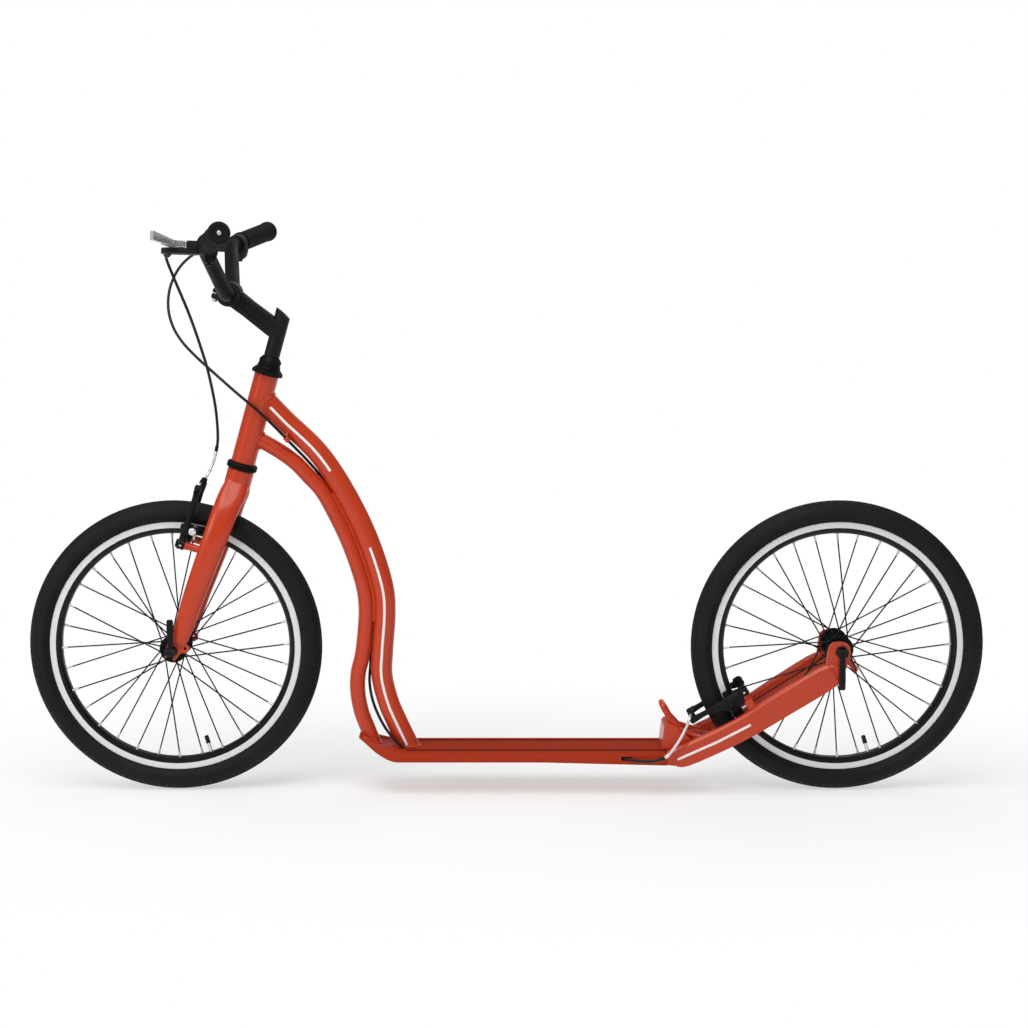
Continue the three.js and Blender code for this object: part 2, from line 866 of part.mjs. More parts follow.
// Frames of the two rim brakes: the origin lies between the pivots, Z runs up the arms and the
// pivots point along -X
const frontBrake = new THREE.Group();
frontBrake.position.set(
  -forkRake - (rimRadius - frontBrakeDepth) * Math.sin(frontBrakeLead * degree),
  0,
  -forkDrop + (rimRadius - frontBrakeDepth) * Math.cos(frontBrakeLead * degree),
);
frontBrake.rotation.y = frontBrakeTilt * degree;
steering.add(frontBrake);
const rearBrake = new THREE.Group();
rearBrake.position.set(
  rearAxle.x - (rimRadius - rearBrakeDepth) * Math.cos(rearBrakeFall * degree),
  0,
  rearAxle.z - (rimRadius - rearBrakeDepth) * Math.sin(rearBrakeFall * degree),
);
rearBrake.rotation.set(0, (-90 - rearBrakeSlope) * degree, 180 * degree, "YXZ");
bike.add(rearBrake);
frontBrake.updateMatrix();
rearBrake.updateMatrix();

function bossSolid(side, length) {
  const y = (side * brakeSpacing) / 2;
  const back = brakeArmThickness / 2 + seatGap;
  const shoulder = rod(vec(back, y, 0), vec(back + length, y, 0), brakeBossRadius, 10);
  const pin = rod(vec(back + brakeBossRadius, y, 0), vec(-back - seatGap, y, 0), brakePinRadius, 10);
  const head = rod(vec(-back, y, 0), vec(-back - brakeHeadHeight, y, 0), brakeBossRadius, 10);
  return joined([shoulder, pin, head]);
}

function placed(made, ...matrices) {
  return matrices.reduce((moved, matrix) => moved.transform(matrix.toArray()), made);
}

const frontAxleInSteering = vec(-forkRake, 0, -forkDrop);
const forkBossLength = 34;

// Outline of a fork dropout about the axle, in shares of the dropout's radius: from the slot's
// back corner round to its front corner
const forkDropoutShares = [
  [-0.8, -0.7],
  [-1, 0.94],
  [-0.5, 2.44],
  [1, 2.44],
  [1.5, 0.25],
  [1, -0.7],
];

// A dropout plate on one side, between its inner face and its outer face
function dropoutPlate(side, hubWidth, outline) {
  const inner = hubWidth / 2 + seatGap;
  const [lowY, highY] = side < 0 ? [-inner - dropoutThickness, -inner] : [inner, inner + dropoutThickness];
  return plate(outline, lowY, highY);
}

function legSolid(side) {
  const rings = legStationShares.map(([drop, rake, spread, depth, width]) => {
    const y = legRootSpacing / 2 + ((legSpacing - legRootSpacing) / 2) * spread;
    const middle = vec(-forkRake * rake, side * y, -forkDrop * drop);
    const halfDepth = (legTopDepth / 2) * depth;
    const halfWidth = (legTopWidth / 2) * width;
    return roundRing(middle, vec(1, 0, 0), halfDepth, vec(0, 1, 0), halfWidth, legSides, legSquareness);
  });
  const crown = turnedZ(
    [
      [0, crownTop - crownHeight - seatGap],
      [crownRadius * crownTaperShare + seatGap, crownTop - crownHeight - seatGap],
      [crownRadius + seatGap, crownTop - crownHeight * crownTaperHeightShare],
      [crownRadius + seatGap, crownTop + seatGap],
      [0, crownTop + seatGap],
    ],
    headsetSides,
  );
  const { x, z } = frontAxleInSteering;
  const slot = axleRadius + seatGap;
  const dropout = dropoutPlate(side, front.hubWidth, [
    [x - slot, z - dropoutRadius],
    ...forkDropoutShares.map(([run, rise]) => [x + dropoutRadius * run, z + dropoutRadius * rise]),
    [x + slot, z - dropoutRadius],
    [x + slot, z + slot],
    [x - slot, z + slot],
  ]);
  const boss = placed(bossSolid(side, forkBossLength), frontBrake.matrix);
  return loft(rings).subtract(crown).add(dropout).add(boss);
}
addPiece(steering, "left_fork_leg", legSolid(-1), redPaint);
addPiece(steering, "right_fork_leg", legSolid(1), redPaint);

// Stem: a hollow post that reaches down into the steerer, and an arm to the handlebar clamp
const quillBottom = steererTop - quillDepth;
const clampCentre = vec(-stemReach, 0, stemClampHeight);
const armRoot = vec(0, 0, stemRootHeight);
const clampBoltX = clampCentre.x - clampBoltReach;
const clampEarMiddle = clampCentre.z - clampEarDrop;
const clampEarWall = 2;

// Everything above a slanted plane that crosses the steering axis, or below it with side -1
function slantedRoom(height, slant, radius, side) {
  const size = radius * 6;
  const geometry = new THREE.BoxGeometry(size, size, size).translate(0, 0, (side * size) / 2);
  return solid(geometry.rotateY(slant * degree).translate(0, 0, height));
}

function stemSolid() {
  const shoulder = locknutTop + seatGap;
  const post = turnedZ(
    [
      [expanderRadius + seatGap, quillBottom - quillRadius],
      [quillRadius, quillBottom - quillRadius],
      [quillRadius, shoulder],
      [stemPostRadius, shoulder],
      [stemPostRadius, stemPostTop + stemPostRadius],
      [expanderHeadRadius + seatGap, stemPostTop + stemPostRadius],
      [expanderHeadRadius + seatGap, stemPostTop - expanderSink - expanderHeadHeight - seatGap],
      [expanderRadius + seatGap, stemPostTop - expanderSink - expanderHeadHeight - seatGap],
      [expanderRadius + seatGap, quillBottom - quillRadius],
    ],
    headsetSides,
  );
  const slope = Math.atan2(clampCentre.z - armRoot.z, -clampCentre.x);
  const run = Math.hypot(clampCentre.x, clampCentre.z - armRoot.z);
  const armGeometry = new THREE.BoxGeometry(run, stemArmWidth, stemArmHeight);
  const grooveGeometry = new THREE.BoxGeometry(run / 2, stemGrooveDepth * 2, stemGrooveHeight);
  const put = (geometry, y = 0) =>
    solid(
      geometry
        .translate(-run / 2, y, 0)
        .rotateY(slope)
        .translate(armRoot.x, armRoot.y, armRoot.z),
    );
  const arm = put(armGeometry);
  const core = rod(
    vec(0, 0, shoulder - overrun),
    vec(0, 0, stemPostTop + stemPostRadius * 2),
    expanderHeadRadius + seatGap,
    headsetSides,
  );
  const ring = rod(
    clampCentre.clone().setY(-clampWidth / 2),
    clampCentre.clone().setY(clampWidth / 2),
    clampRadius,
    16,
  );
  const earFront = clampBoltX - clampBoltHeadRadius - clampEarWall;
  const ear = box(
    vec(earFront, -stemArmWidth / 2, clampEarMiddle - clampEarHeight / 2),
    vec(clampCentre.x, stemArmWidth / 2, clampEarMiddle + clampEarHeight / 2),
  );
  const barHole = rod(
    clampCentre.clone().setY(-clampWidth),
    clampCentre.clone().setY(clampWidth),
    barRadius + seatGap,
    barSides * 2,
  );
  const slot = box(
    vec(earFront - overrun, -clampWidth, clampEarMiddle - clampSlot / 2),
    vec(clampCentre.x, clampWidth, clampEarMiddle + clampSlot / 2),
  );
  const boltHole = rod(
    vec(clampBoltX, 0, clampEarMiddle - clampEarHeight),
    vec(clampBoltX, 0, clampEarMiddle + clampEarHeight),
    clampBoltRadius + seatGap,
    10,
  );
  const above = slantedRoom(stemPostTop, stemTopSlant, stemPostRadius, 1);
  const below = slantedRoom(quillBottom, -wedgeSlant, quillRadius, -1);
  return post
    .subtract(above)
    .add(arm.subtract(core))
    .add(ring)
    .add(ear)
    .subtract(barHole)
    .subtract(slot)
    .subtract(boltHole)
    .subtract(put(grooveGeometry.clone(), stemArmWidth / 2))
    .subtract(put(grooveGeometry, -stemArmWidth / 2))
    .subtract(below);
}

addPiece(steering, "quill_stem", stemSolid(), blackPaint);

const wedgeRoom = slantedRoom(quillBottom - 2 * seatGap, -wedgeSlant, quillRadius, -1);
const wedge = turnedZ(
  [
    [expanderRadius + seatGap, quillBottom - wedgeHeight],
    [quillRadius, quillBottom - wedgeHeight],
    [quillRadius, quillBottom + quillRadius],
    [expanderRadius + seatGap, quillBottom + quillRadius],
    [expanderRadius + seatGap, quillBottom - wedgeHeight],
  ],
  headsetSides,
);
addPiece(steering, "stem_wedge", wedge.intersect(wedgeRoom), silverMetal);
addPiece(
  steering,
  "stem_expander_bolt",
  turnedZ(
    [
      [0, quillBottom - wedgeHeight - overrun],
      [expanderRadius, quillBottom - wedgeHeight - overrun],
      [expanderRadius, stemPostTop - expanderSink - expanderHeadHeight],
      [expanderHeadRadius, stemPostTop - expanderSink - expanderHeadHeight],
      [expanderHeadRadius, stemPostTop - expanderSink],
      [0, stemPostTop - expanderSink],
    ],
    12,
  ),
  silverMetal,
);

const clampEarBottom = clampEarMiddle - clampEarHeight / 2;
addPiece(
  steering,
  "bar_clamp_bolt",
  turnedZ(
    [
      [0, clampEarBottom - seatGap - clampBoltHeadHeight],
      [clampBoltHeadRadius, clampEarBottom - seatGap - clampBoltHeadHeight],
      [clampBoltHeadRadius, clampEarBottom - seatGap],
      [clampBoltRadius, clampEarBottom - seatGap],
      [clampBoltRadius, clampEarMiddle + clampEarHeight / 2],
      [0, clampEarMiddle + clampEarHeight / 2],
    ],
    12,
  ).translate([clampBoltX, 0, 0]),
  silverMetal,
);

// Handlebar: a riser bar, level in the clamp, rising to a bend and sweeping back to the grips
const barStart = vec(clampCentre.x, barRiseStart, clampCentre.z);
const barBend = vec(clampCentre.x - barForward, barBendSpan, clampCentre.z + barRise);
const barEnd = vec(clampCentre.x - barEndForward, barWidth / 2, clampCentre.z + barEndRise);
const mirrored = (p) => vec(p.x, -p.y, p.z);
const barPath = bentStations(
  [mirrored(barEnd), mirrored(barBend), mirrored(barStart), barStart, barBend, barEnd],
  barBendRadius,
);
addPiece(steering, "handlebar", hollow(barPath, barRadius, barRadius, barWall, barSides, 6), blackPaint);

// Frame of one side's controls: X runs outward along the bar, Z up, and the lever is at -Y
const barOutward = new THREE.Vector3().subVectors(barEnd, barBend).normalize();
const leverFromEnd = gripLength + leverGap + leverClampWidth / 2;

function addControls(side, name) {
  const mirror = new THREE.Group();
  mirror.scale.y = -side;
  steering.add(mirror);
  const controls = new THREE.Group();
  mirror.add(controls);
  const outward = vec(barOutward.x, -barOutward.y, barOutward.z);
  const level = vec(-Math.cos(headTilt * degree), 0, -Math.sin(headTilt * degree));
  const forward = level.addScaledVector(outward, -level.dot(outward)).normalize();
  const upward = new THREE.Vector3().crossVectors(forward, outward).normalize();
  const basis = new THREE.Matrix4().makeBasis(outward, forward.clone().negate(), upward);
  controls.quaternion.setFromRotationMatrix(basis);
  controls.position.copy(mirrored(barEnd)).addScaledVector(outward, -leverFromEnd);
  addPiece(controls, name + "_grip", gripSolid(), blackRubber);
  addPiece(controls, name + "_lever_bracket", bracketSolid(), blackPlastic);
  addPiece(controls, name + "_brake_lever", bladeSolid(), silverMetal);
}

function gripSolid() {
  const bore = barRadius + 2 * seatGap;
  const barLeft = leverFromEnd;
  const start = barLeft - gripLength;
  const ribRun = (gripLength - 2 * gripFlangeWidth) / gripRibCount;
  const profile = [
    [0, barLeft + gripEndWall],
    [gripFlangeRadius, barLeft + gripEndWall],
    [gripFlangeRadius, barLeft - gripFlangeWidth],
  ];
  for (let i = 0; i < gripRibCount; i += 1) {
    const from = barLeft - gripFlangeWidth - ribRun * i;
    profile.push([gripRadius, from], [gripRadius - gripRibDepth, from - ribRun / 2]);
  }
  profile.push(
    [gripRadius, start + gripFlangeWidth],
    [gripFlangeRadius, start + gripFlangeWidth],
    [gripFlangeRadius, start],
    [bore, start],
    [bore, barLeft + seatGap],
    [0, barLeft + seatGap],
  );
  const points = profile.map(([radius, y]) => new THREE.Vector2(radius, y));
  return solid(new THREE.LatheGeometry(points, 12).rotateZ(-90 * degree));
}

// Flat pieces of the controls lie in the plane of the bar and the lever
function slab(outline, lowZ, highZ) {
  const shape = new THREE.Shape(outline.map(([x, y]) => new THREE.Vector2(x, y)));
  const geometry = new THREE.ExtrudeGeometry(shape, { depth: highZ - lowZ, bevelEnabled: false });
  return solid(geometry.translate(0, 0, lowZ));
}

const bladeSlot = leverBladeHeight / 2 + seatGap;
const leverPivot = vec(leverClampWidth / 4, -leverPivotForward, 0);

function bracketSolid() {
  const half = leverClampWidth / 2;
  const outer = barRadius + seatGap + leverClampWall;
  const clamp = rod(vec(-half, 0, 0), vec(half, 0, 0), outer, 14);
  const bore = rod(vec(-half - overrun, 0, 0), vec(half + overrun, 0, 0), barRadius + seatGap, barSides * 2);
  const bodySide = leverBodyWidth / 2;
  const bridge = box(
    vec(-bodySide, -leverPivotForward + leverPivotRadius * 2, -leverBodyHeight),
    vec(bodySide, 0, bladeSlot),
  );
  const floor = box(
    vec(-bodySide, -leverNoseForward, -bladeSlot - leverBodyHeight),
    vec(bodySide, -barRadius, -bladeSlot),
  );
  const pivotRod = rod(
    vec(leverPivot.x, leverPivot.y, -bladeSlot - overrun / 2),
    vec(leverPivot.x, leverPivot.y, bladeSlot),
    leverPinRadius,
    10,
  );
  const barrel = rod(
    vec(bodySide - barrelLength - leverBodyWidth, -barrelForward, -barrelDrop),
    vec(0, -barrelForward, -barrelDrop),
    barrelRadius,
    12,
  );
  return joined([clamp, bridge, floor]).subtract(bore).add(pivotRod).add(barrel);
}

function bladeSolid() {
  const w = leverBladeWidth;
  const p = leverPivot;
  const reach = leverTipForward - leverPivotForward;
  const span = leverTipOut;
  const outline = [
    [p.x - w * 0.7, p.y + w * 0.6],
    [p.x + w * 0.7, p.y + w * 0.6],
    [p.x + w * 1.1, p.y - reach * 0.25],
    [p.x + span * 0.28, p.y - reach * 0.5],
    [p.x + span * 0.62, p.y - reach * 0.68],
    [p.x + span * 0.95, p.y - reach * 0.84],
    [p.x + span, p.y - reach],
    [p.x + span * 0.9, p.y - reach * 1.04],
    [p.x + span * 0.55, p.y - reach * 0.88],
    [p.x + span * 0.2, p.y - reach * 0.72],
    [p.x - w * 0.2, p.y - reach * 0.42],
    [p.x - w * 0.8, p.y - reach * 0.1],
  ];
  const blade = slab(outline, -leverBladeHeight / 2, leverBladeHeight / 2);
  const hole = rod(
    vec(p.x, p.y, -leverBladeHeight),
    vec(p.x, p.y, leverBladeHeight),
    leverPinRadius + 2 * seatGap,
    12,
  );
  return blade.subtract(hole);
}
addControls(-1, "left");
addControls(1, "right");

// Rim brake: two arms on their pivots, each with its pad, and the bent cable pipe on the arm at +Y
const brakePadStations = {
  front: padStation(frontBrake, frontAxleInSteering),
  rear: padStation(rearBrake, rearAxle),
};

// Height of the pad above the pivots, and the tilt that lays it along the rim
function padStation(group, axle) {
  const centre = axle.clone().applyMatrix4(group.matrix.clone().invert());
  const track = rimRadius - padTrackDepth;
  const offset = padOffset - centre.x;
  const rise = centre.z + Math.sqrt(track ** 2 - offset ** 2);
  const tilt = Math.atan2(offset, rise - centre.z);
  return { rise, tilt };
}

// Each station of an arm: share of its length, then of its width
const armStationShares = [
  [0, 1.2],
  [0.35, 1.2],
  [1, 0.8],
];

function armSolid(side, padRise) {
  const pivotY = (side * brakeSpacing) / 2;
  const tipY = (side * brakeTipSpacing) / 2;
  const lean = (z) => pivotY + (tipY - pivotY) * (z / brakeArmLength);
  const half = brakeArmThickness / 2;
  const bar = loft(
    armStationShares.map(([run, widening]) => {
      const z = brakeArmLength * run;
      const width = brakeArmWidth * widening;
      const y = lean(z);
      return [
        vec(-half, y - width / 2, z),
        vec(half, y - width / 2, z),
        vec(half, y + width / 2, z),
        vec(-half, y + width / 2, z),
      ];
    }),
  );
  const root = rod(vec(-half, pivotY, 0), vec(half, pivotY, 0), brakeRootRadius, 10);
  const holderY = [lean(padRise) - (side * brakeArmWidth) / 2, lean(padRise) + side * brakeArmWidth];
  const holder = rod(vec(padOffset, holderY[0], padRise), vec(padOffset, holderY[1], padRise), half * 1.2, 8);
  const lug = box(
    vec(0, lean(padRise) - brakeArmWidth / 2, padRise - half),
    vec(padOffset, lean(padRise) + brakeArmWidth / 2, padRise + half),
  );
  const bore = rod(vec(-half * 2, pivotY, 0), vec(half * 2, pivotY, 0), brakePinRadius + 2 * seatGap, 10);
  const studHole = rod(
    vec(padOffset, 0, padRise),
    vec(padOffset, side * brakeSpacing, padRise),
    padStudRadius + 2 * seatGap,
    8,
  );
  return joined([bar, root, holder, lug]).subtract(bore).subtract(studHole);
}

function padSolid(side, station) {
  const face = rimWidth / 2 + padClearance;
  const lean = (brakeSpacing + (brakeTipSpacing - brakeSpacing) * (station.rise / brakeArmLength)) / 2;
  const nutFace = lean + brakeArmWidth + seatGap;
  const geometry = new THREE.BoxGeometry(padLength, padThickness, padHeight);
  geometry.translate(0, face + padThickness / 2, 0).rotateY(station.tilt);
  geometry.translate(padOffset, 0, station.rise);
  const pad = solid(geometry);
  const stud = rod(
    vec(padOffset, face + padThickness / 2, station.rise),
    vec(padOffset, nutFace, station.rise),
    padStudRadius,
    8,
  );
  const nut = rod(
    vec(padOffset, nutFace, station.rise),
    vec(padOffset, nutFace + padNutHeight, station.rise),
    padNutRadius,
    12,
  );
  const made = joined([pad, stud, nut]);
  return side > 0 ? made : made.mirror([0, 1, 0]);
}

// Pipe routes in the brake's frame, from inside the arm out and up to the housing's end
const frontNoodleRoute = [
  [0, 18, 103.6],
  [0, 34, 103.6],
  [0.6, 44, 106.5],
  [1.8, 50, 114],
  [3.2, 52.5, 124],
  [4.3, 53, 137.1],
  [3.3, 50.4, 152.8],
];
const rearNoodleRoute = [
  [-9, 20, 95],
  [-9, 36, 96],
  [-8, 45, 98.5],
  [2.2, 51.5, 113],
  [12.6, 59, 132.1],
  [22.2, 65.4, 156.6],
  [24.3, 65.5, 166.3],
];

function addBrake(group, name, station, noodleRoute, sideNames) {
  [-1, 1].forEach((side) => {
    const sideName = sideNames[side < 0 ? 0 : 1];
    addPiece(group, name + "_" + sideName + "_brake_arm", armSolid(side, station.rise), blackPaint);
    addPiece(group, name + "_" + sideName + "_brake_pad", padSolid(side, station), blackRubber);
  });
  const pipe = cable(noodleRoute, noodleRadius, 12);
  const [x, y, z] = noodleRoute[0];
  const boot = rod(vec(x, y, z), vec(x, y - bootLength, z), bootRadius, 10);
  addPiece(group, name + "_brake_noodle", pipe.add(boot), silverMetal);
}
addBrake(frontBrake, "front", brakePadStations.front, frontNoodleRoute, ["left", "right"]);
addBrake(rearBrake, "rear", brakePadStations.rear, rearNoodleRoute, ["right", "left"]);

// Cable housings
addPiece(bike, "front_brake_cable", cable(frontCableRoute, cableRadius, 30), blackPlastic);
addPiece(bike, "rear_cable_loop", cable(rearLoopRoute, cableRadius, 34), blackPlastic);
addPiece(bike, "rear_brake_cable", cable(frameCableRoute, cableRadius, 52), blackPlastic);

// Footboard: a hollow board whose nose rises and narrows to the lower tube's foot
const deckHalf = deckWidth / 2;
const cableWayRoom = 6; // on each side of the cable's middle
const cableEntry = vec(-164, -24, 70); // where the cable goes down through the top
const cableEntryLength = 48;
const cableExit = vec(181, -55, 64); // where it comes out through the side
const cableExitLength = 62;
const cableExitRoom = 4.5;

// Each nose station: share of the nose's length forward, share of the half width's narrowing,
// share of the underside's rise and share of the top's rise
const noseStationShares = [
  [0.18, 0, 0, 0.03],
  [0.45, 0.28, 0.22, 0.27],
  [0.73, 0.62, 0.58, 0.62],
  [1, 1, 1, 1],
];

function deckRing(x, half, low, high) {
  return [vec(x, -half, low), vec(x, half, low), vec(x, half, high), vec(x, -half, high)];
}

function footboardSolid() {
  const low = deckTop - deckThickness;
  const tipHigh = deckTop + noseRise;
  const tipLow = tipHigh - noseTipThickness;
  const nose = noseStationShares.map(([run, narrow, lift, rise]) =>
    deckRing(
      deckFront - noseLength * run,
      deckHalf + (noseTipWidth / 2 - deckHalf) * narrow,
      low + (tipLow - low) * lift,
      deckTop + noseRise * rise,
    ),
  );
  const rings = [
    ...nose.reverse(),
    deckRing(deckFront, deckHalf, low, deckTop),
    deckRing((deckFront + deckRear) / 2, deckHalf, low, deckTop),
    deckRing(deckRear, deckHalf, deckTop - deckRearThickness, deckTop),
  ];
  const chamber = box(
    vec(deckFront + deckWall, -deckChamberWidth / 2, low + deckWall * 0.75),
    vec(deckRear + overrun, deckChamberWidth / 2, deckTop - deckWall),
  );
  const grooves = [-1, 1].map((side) =>
    box(
      vec(deckFront, (side * deckGrooveSpacing - deckGrooveWidth) / 2, deckTop - deckGrooveDepth),
      vec(deckRear + overrun, (side * deckGrooveSpacing + deckGrooveWidth) / 2, deckTop + overrun),
    ),
  );
  const stayPockets = [-1, 1].map((side) => {
    const inner = (stayFrontSpacing - stayThickness) / 2 - seatGap;
    const ends = [side * inner, side * (deckHalf + overrun)].sort((a, b) => a - b);
    return box(vec(stayStart - seatGap, ends[0], 0), vec(deckRear + overrun, ends[1], deckTop + overrun));
  });
  const cableWays = [
    box(
      vec(cableEntry.x - cableEntryLength / 2, cableEntry.y - cableWayRoom, deckTop - deckWall - overrun),
      vec(cableEntry.x + cableEntryLength / 2, cableEntry.y + cableWayRoom, deckTop + overrun * 3),
    ),
    box(
      vec(cableExit.x - cableExitLength / 2, cableExit.y - overrun, cableExit.z - cableExitRoom),
      vec(cableExit.x + cableExitLength / 2, overrun - deckChamberWidth / 2, cableExit.z + cableExitRoom),
    ),
  ];
  const heelSeat = box(
    vec(heelPlateStart - seatGap, (deckGrooveWidth - deckGrooveSpacing) / 2, deckTop - seatGap),
    vec(deckRear + overrun, (deckGrooveSpacing - deckGrooveWidth) / 2, deckTop + overrun),
  );
  return [chamber, ...grooves, ...stayPockets, ...cableWays, heelSeat].reduce(
    (board, cut) => board.subtract(cut),
    loft(rings),
  );
}
addPiece(bike, "footboard", footboardSolid(), redPaint);

// Main tubes. Each station of the upper tube: share of the run from the steering axis to its foot,
// and share of the drop
const upperTubeShares = [
  [0, 0],
  [0.1557, 0.0666],
  [0.3785, 0.1563],
  [0.5549, 0.2661],
  [0.711, 0.4],
  [0.8134, 0.5404],
  [0.822, 0.6047],
  [0.8033, 0.7126],
  [0.798, 0.7791],
  [0.8411, 0.8561],
  [0.8992, 0.9133],
  [0.9764, 0.9801],
  [1, 1],
];
const footDepth = 12; // how far a tube's line runs on below the surface that it is cut by
const upperHead = onSteeringAxis(upperTubeHead);
const upperFoot = vec(upperTubeFoot, 0, deckTop - footDepth);
const upperPoints = upperTubeShares.map(([run, drop]) =>
  vec(upperHead.x + (upperFoot.x - upperHead.x) * run, 0, upperHead.z + (upperFoot.z - upperHead.z) * drop),
);
const upperCurve = new THREE.CatmullRomCurve3(upperPoints, false, "centripetal");
const tubeCutLength = 20;
const tubeSides = 12;
const tubeBoreSides = 8;
const upperStations = bendStations(upperCurve, 20);

const headCutter = rod(
  onSteeringAxis(-tubeCutLength),
  onSteeringAxis(headTubeLength + tubeCutLength),
  headTubeRadius + seatGap,
  headTubeSides,
);

function upperTubeSolid() {
  const [halfSide, halfUp] = [upperTubeWidth / 2, upperTubeHeight / 2];
  const tube = hollow(upperStations, halfSide, halfUp, upperTubeWall, tubeSides, tubeBoreSides);
  return tube.subtract(headCutter).subtract(footboardRoom());
}
addPiece(bike, "upper_main_tube", upperTubeSolid(), redPaint);

// The lower tube leaves the head tube alone, lies along the upper tube in its middle stretch, and
// parts from it again above the nose
const lowerTubeTopShares = [
  [0, 0],
  [0.2298, 0.05],
  [0.3636, 0.088],
  [0.4782, 0.134],
];
const lowerTubeFootShares = [
  [0.8937, 0.695],
  [0.8555, 0.76],
  [0.853, 0.82],
  [0.8848, 0.885],
  [0.9387, 0.94],
  [1, 1],
];
const lowerTouchShares = [0.28, 0.35, 0.42, 0.49, 0.56, 0.62, 0.67]; // of the upper tube's length

function lowerCurve() {
  const head = onSteeringAxis(lowerTubeHead);
  const foot = vec(lowerTubeFoot, 0, deckTop - footDepth / 2);
  const between = ([run, drop]) =>
    vec(head.x + (foot.x - head.x) * run, 0, head.z + (foot.z - head.z) * drop);
  const spacing = (upperTubeHeight + lowerTubeDiameter) / 2 + seatGap * 1.5;
  const touching = lowerTouchShares.map((share) => {
    const tangent = upperCurve.getTangentAt(share);
    return upperCurve.getPointAt(share).add(vec(tangent.z, 0, -tangent.x).multiplyScalar(spacing));
  });
  const points = [...lowerTubeTopShares.map(between), ...touching, ...lowerTubeFootShares.map(between)];
  return new THREE.CatmullRomCurve3(points, false, "centripetal");
}

function lowerTubeSolid() {
  const half = lowerTubeDiameter / 2;
  const tube = hollow(bendStations(lowerCurve(), 22), half, half, lowerTubeWall, 10, 6);
  return tube.subtract(headCutter).subtract(footboardRoom());
}

// Everything under the footboard's top skin, grown by the seat's gap
function footboardRoom() {
  const tipHigh = deckTop + noseRise;
  const profile = noseStationShares.map(([run, , , rise]) => [
    deckFront - noseLength * run,
    deckTop + noseRise * rise + seatGap,
  ]);
  const outline = [
    [deckFront - noseLength * 2, tipHigh + seatGap],
    ...profile.reverse(),
    [deckFront, deckTop + seatGap],
    [deckRear, deckTop + seatGap],
    [deckRear, 0],
    [deckFront - noseLength * 2, 0],
  ];
  return plate(outline, -deckWidth, deckWidth);
}
addPiece(bike, "lower_main_tube", lowerTubeSolid(), redPaint);

// Cable clip under the upper tube
const clipShare = 0.09;
const clipSize = 9;
const clipWall = 1.8;
const clipTabRadius = 2.2;

function clipSolid() {
  const [before, middle, after] = frameCableRoute.slice(1, 4).map((p) => vec(...p));
  const direction = after.sub(before).normalize();
  const ends = [-1, 1].map((end) => middle.clone().addScaledVector(direction, (end * clipSize) / 2));
  const ring = rod(ends[0], ends[1], cableRadius + seatGap + clipWall, 8);
  const hole = rod(
    middle.clone().addScaledVector(direction, -clipSize),
    middle.clone().addScaledVector(direction, clipSize),
    cableRadius + 3 * seatGap,
    8,
  );
  const tubePoint = upperCurve.getPointAt(clipShare);
  const tab = rod(middle, tubePoint, clipTabRadius, 6);
  const room = swept(upperStations, upperTubeWidth / 2 + seatGap, upperTubeHeight / 2 + seatGap, tubeSides);
  return ring.add(tab.subtract(room)).subtract(hole);
}
addPiece(bike, "rear_cable_clip", clipSolid(), redPaint);

// Rear stays: each has its dropout and its brake boss welded on
// Each station: X from the footboard's rear end as a share of the run to the axle, then the stay's
// middle and its height as shares of the rise to the axle, and the share of the outward flare
const stayRise = rearAxle.z - deckTop;
const stayRun = rearAxle.x - deckRear;
const stayStationShares = [
  [-0.126, -0.064, 0.128, 0],
  [-0.012, -0.039, 0.21, 0],
  [0.2, 0.105, 0.217, 0.1],
  [0.4, 0.265, 0.224, 0.35],
  [0.62, 0.477, 0.238, 0.7],
  [0.88, 0.72, 0.238, 1],
  [0.97, 0.8, 0.18, 1],
];
const stayDropoutShares = [
  [-1.9, -3.6],
  [-0.1, -3.4],
  [0.5, -1.6],
  [0.8, -1.1],
  [0.8, 0.5],
  [0.4, 1],
  [-0.9, 1],
  [-1.4, 0.5],
]; // about the axle, in shares of the dropout's radius
const tailLength = 72;
const tailSlope = 52;
const stayBossReach = 40; // from a brake pivot back to the end of its bridge

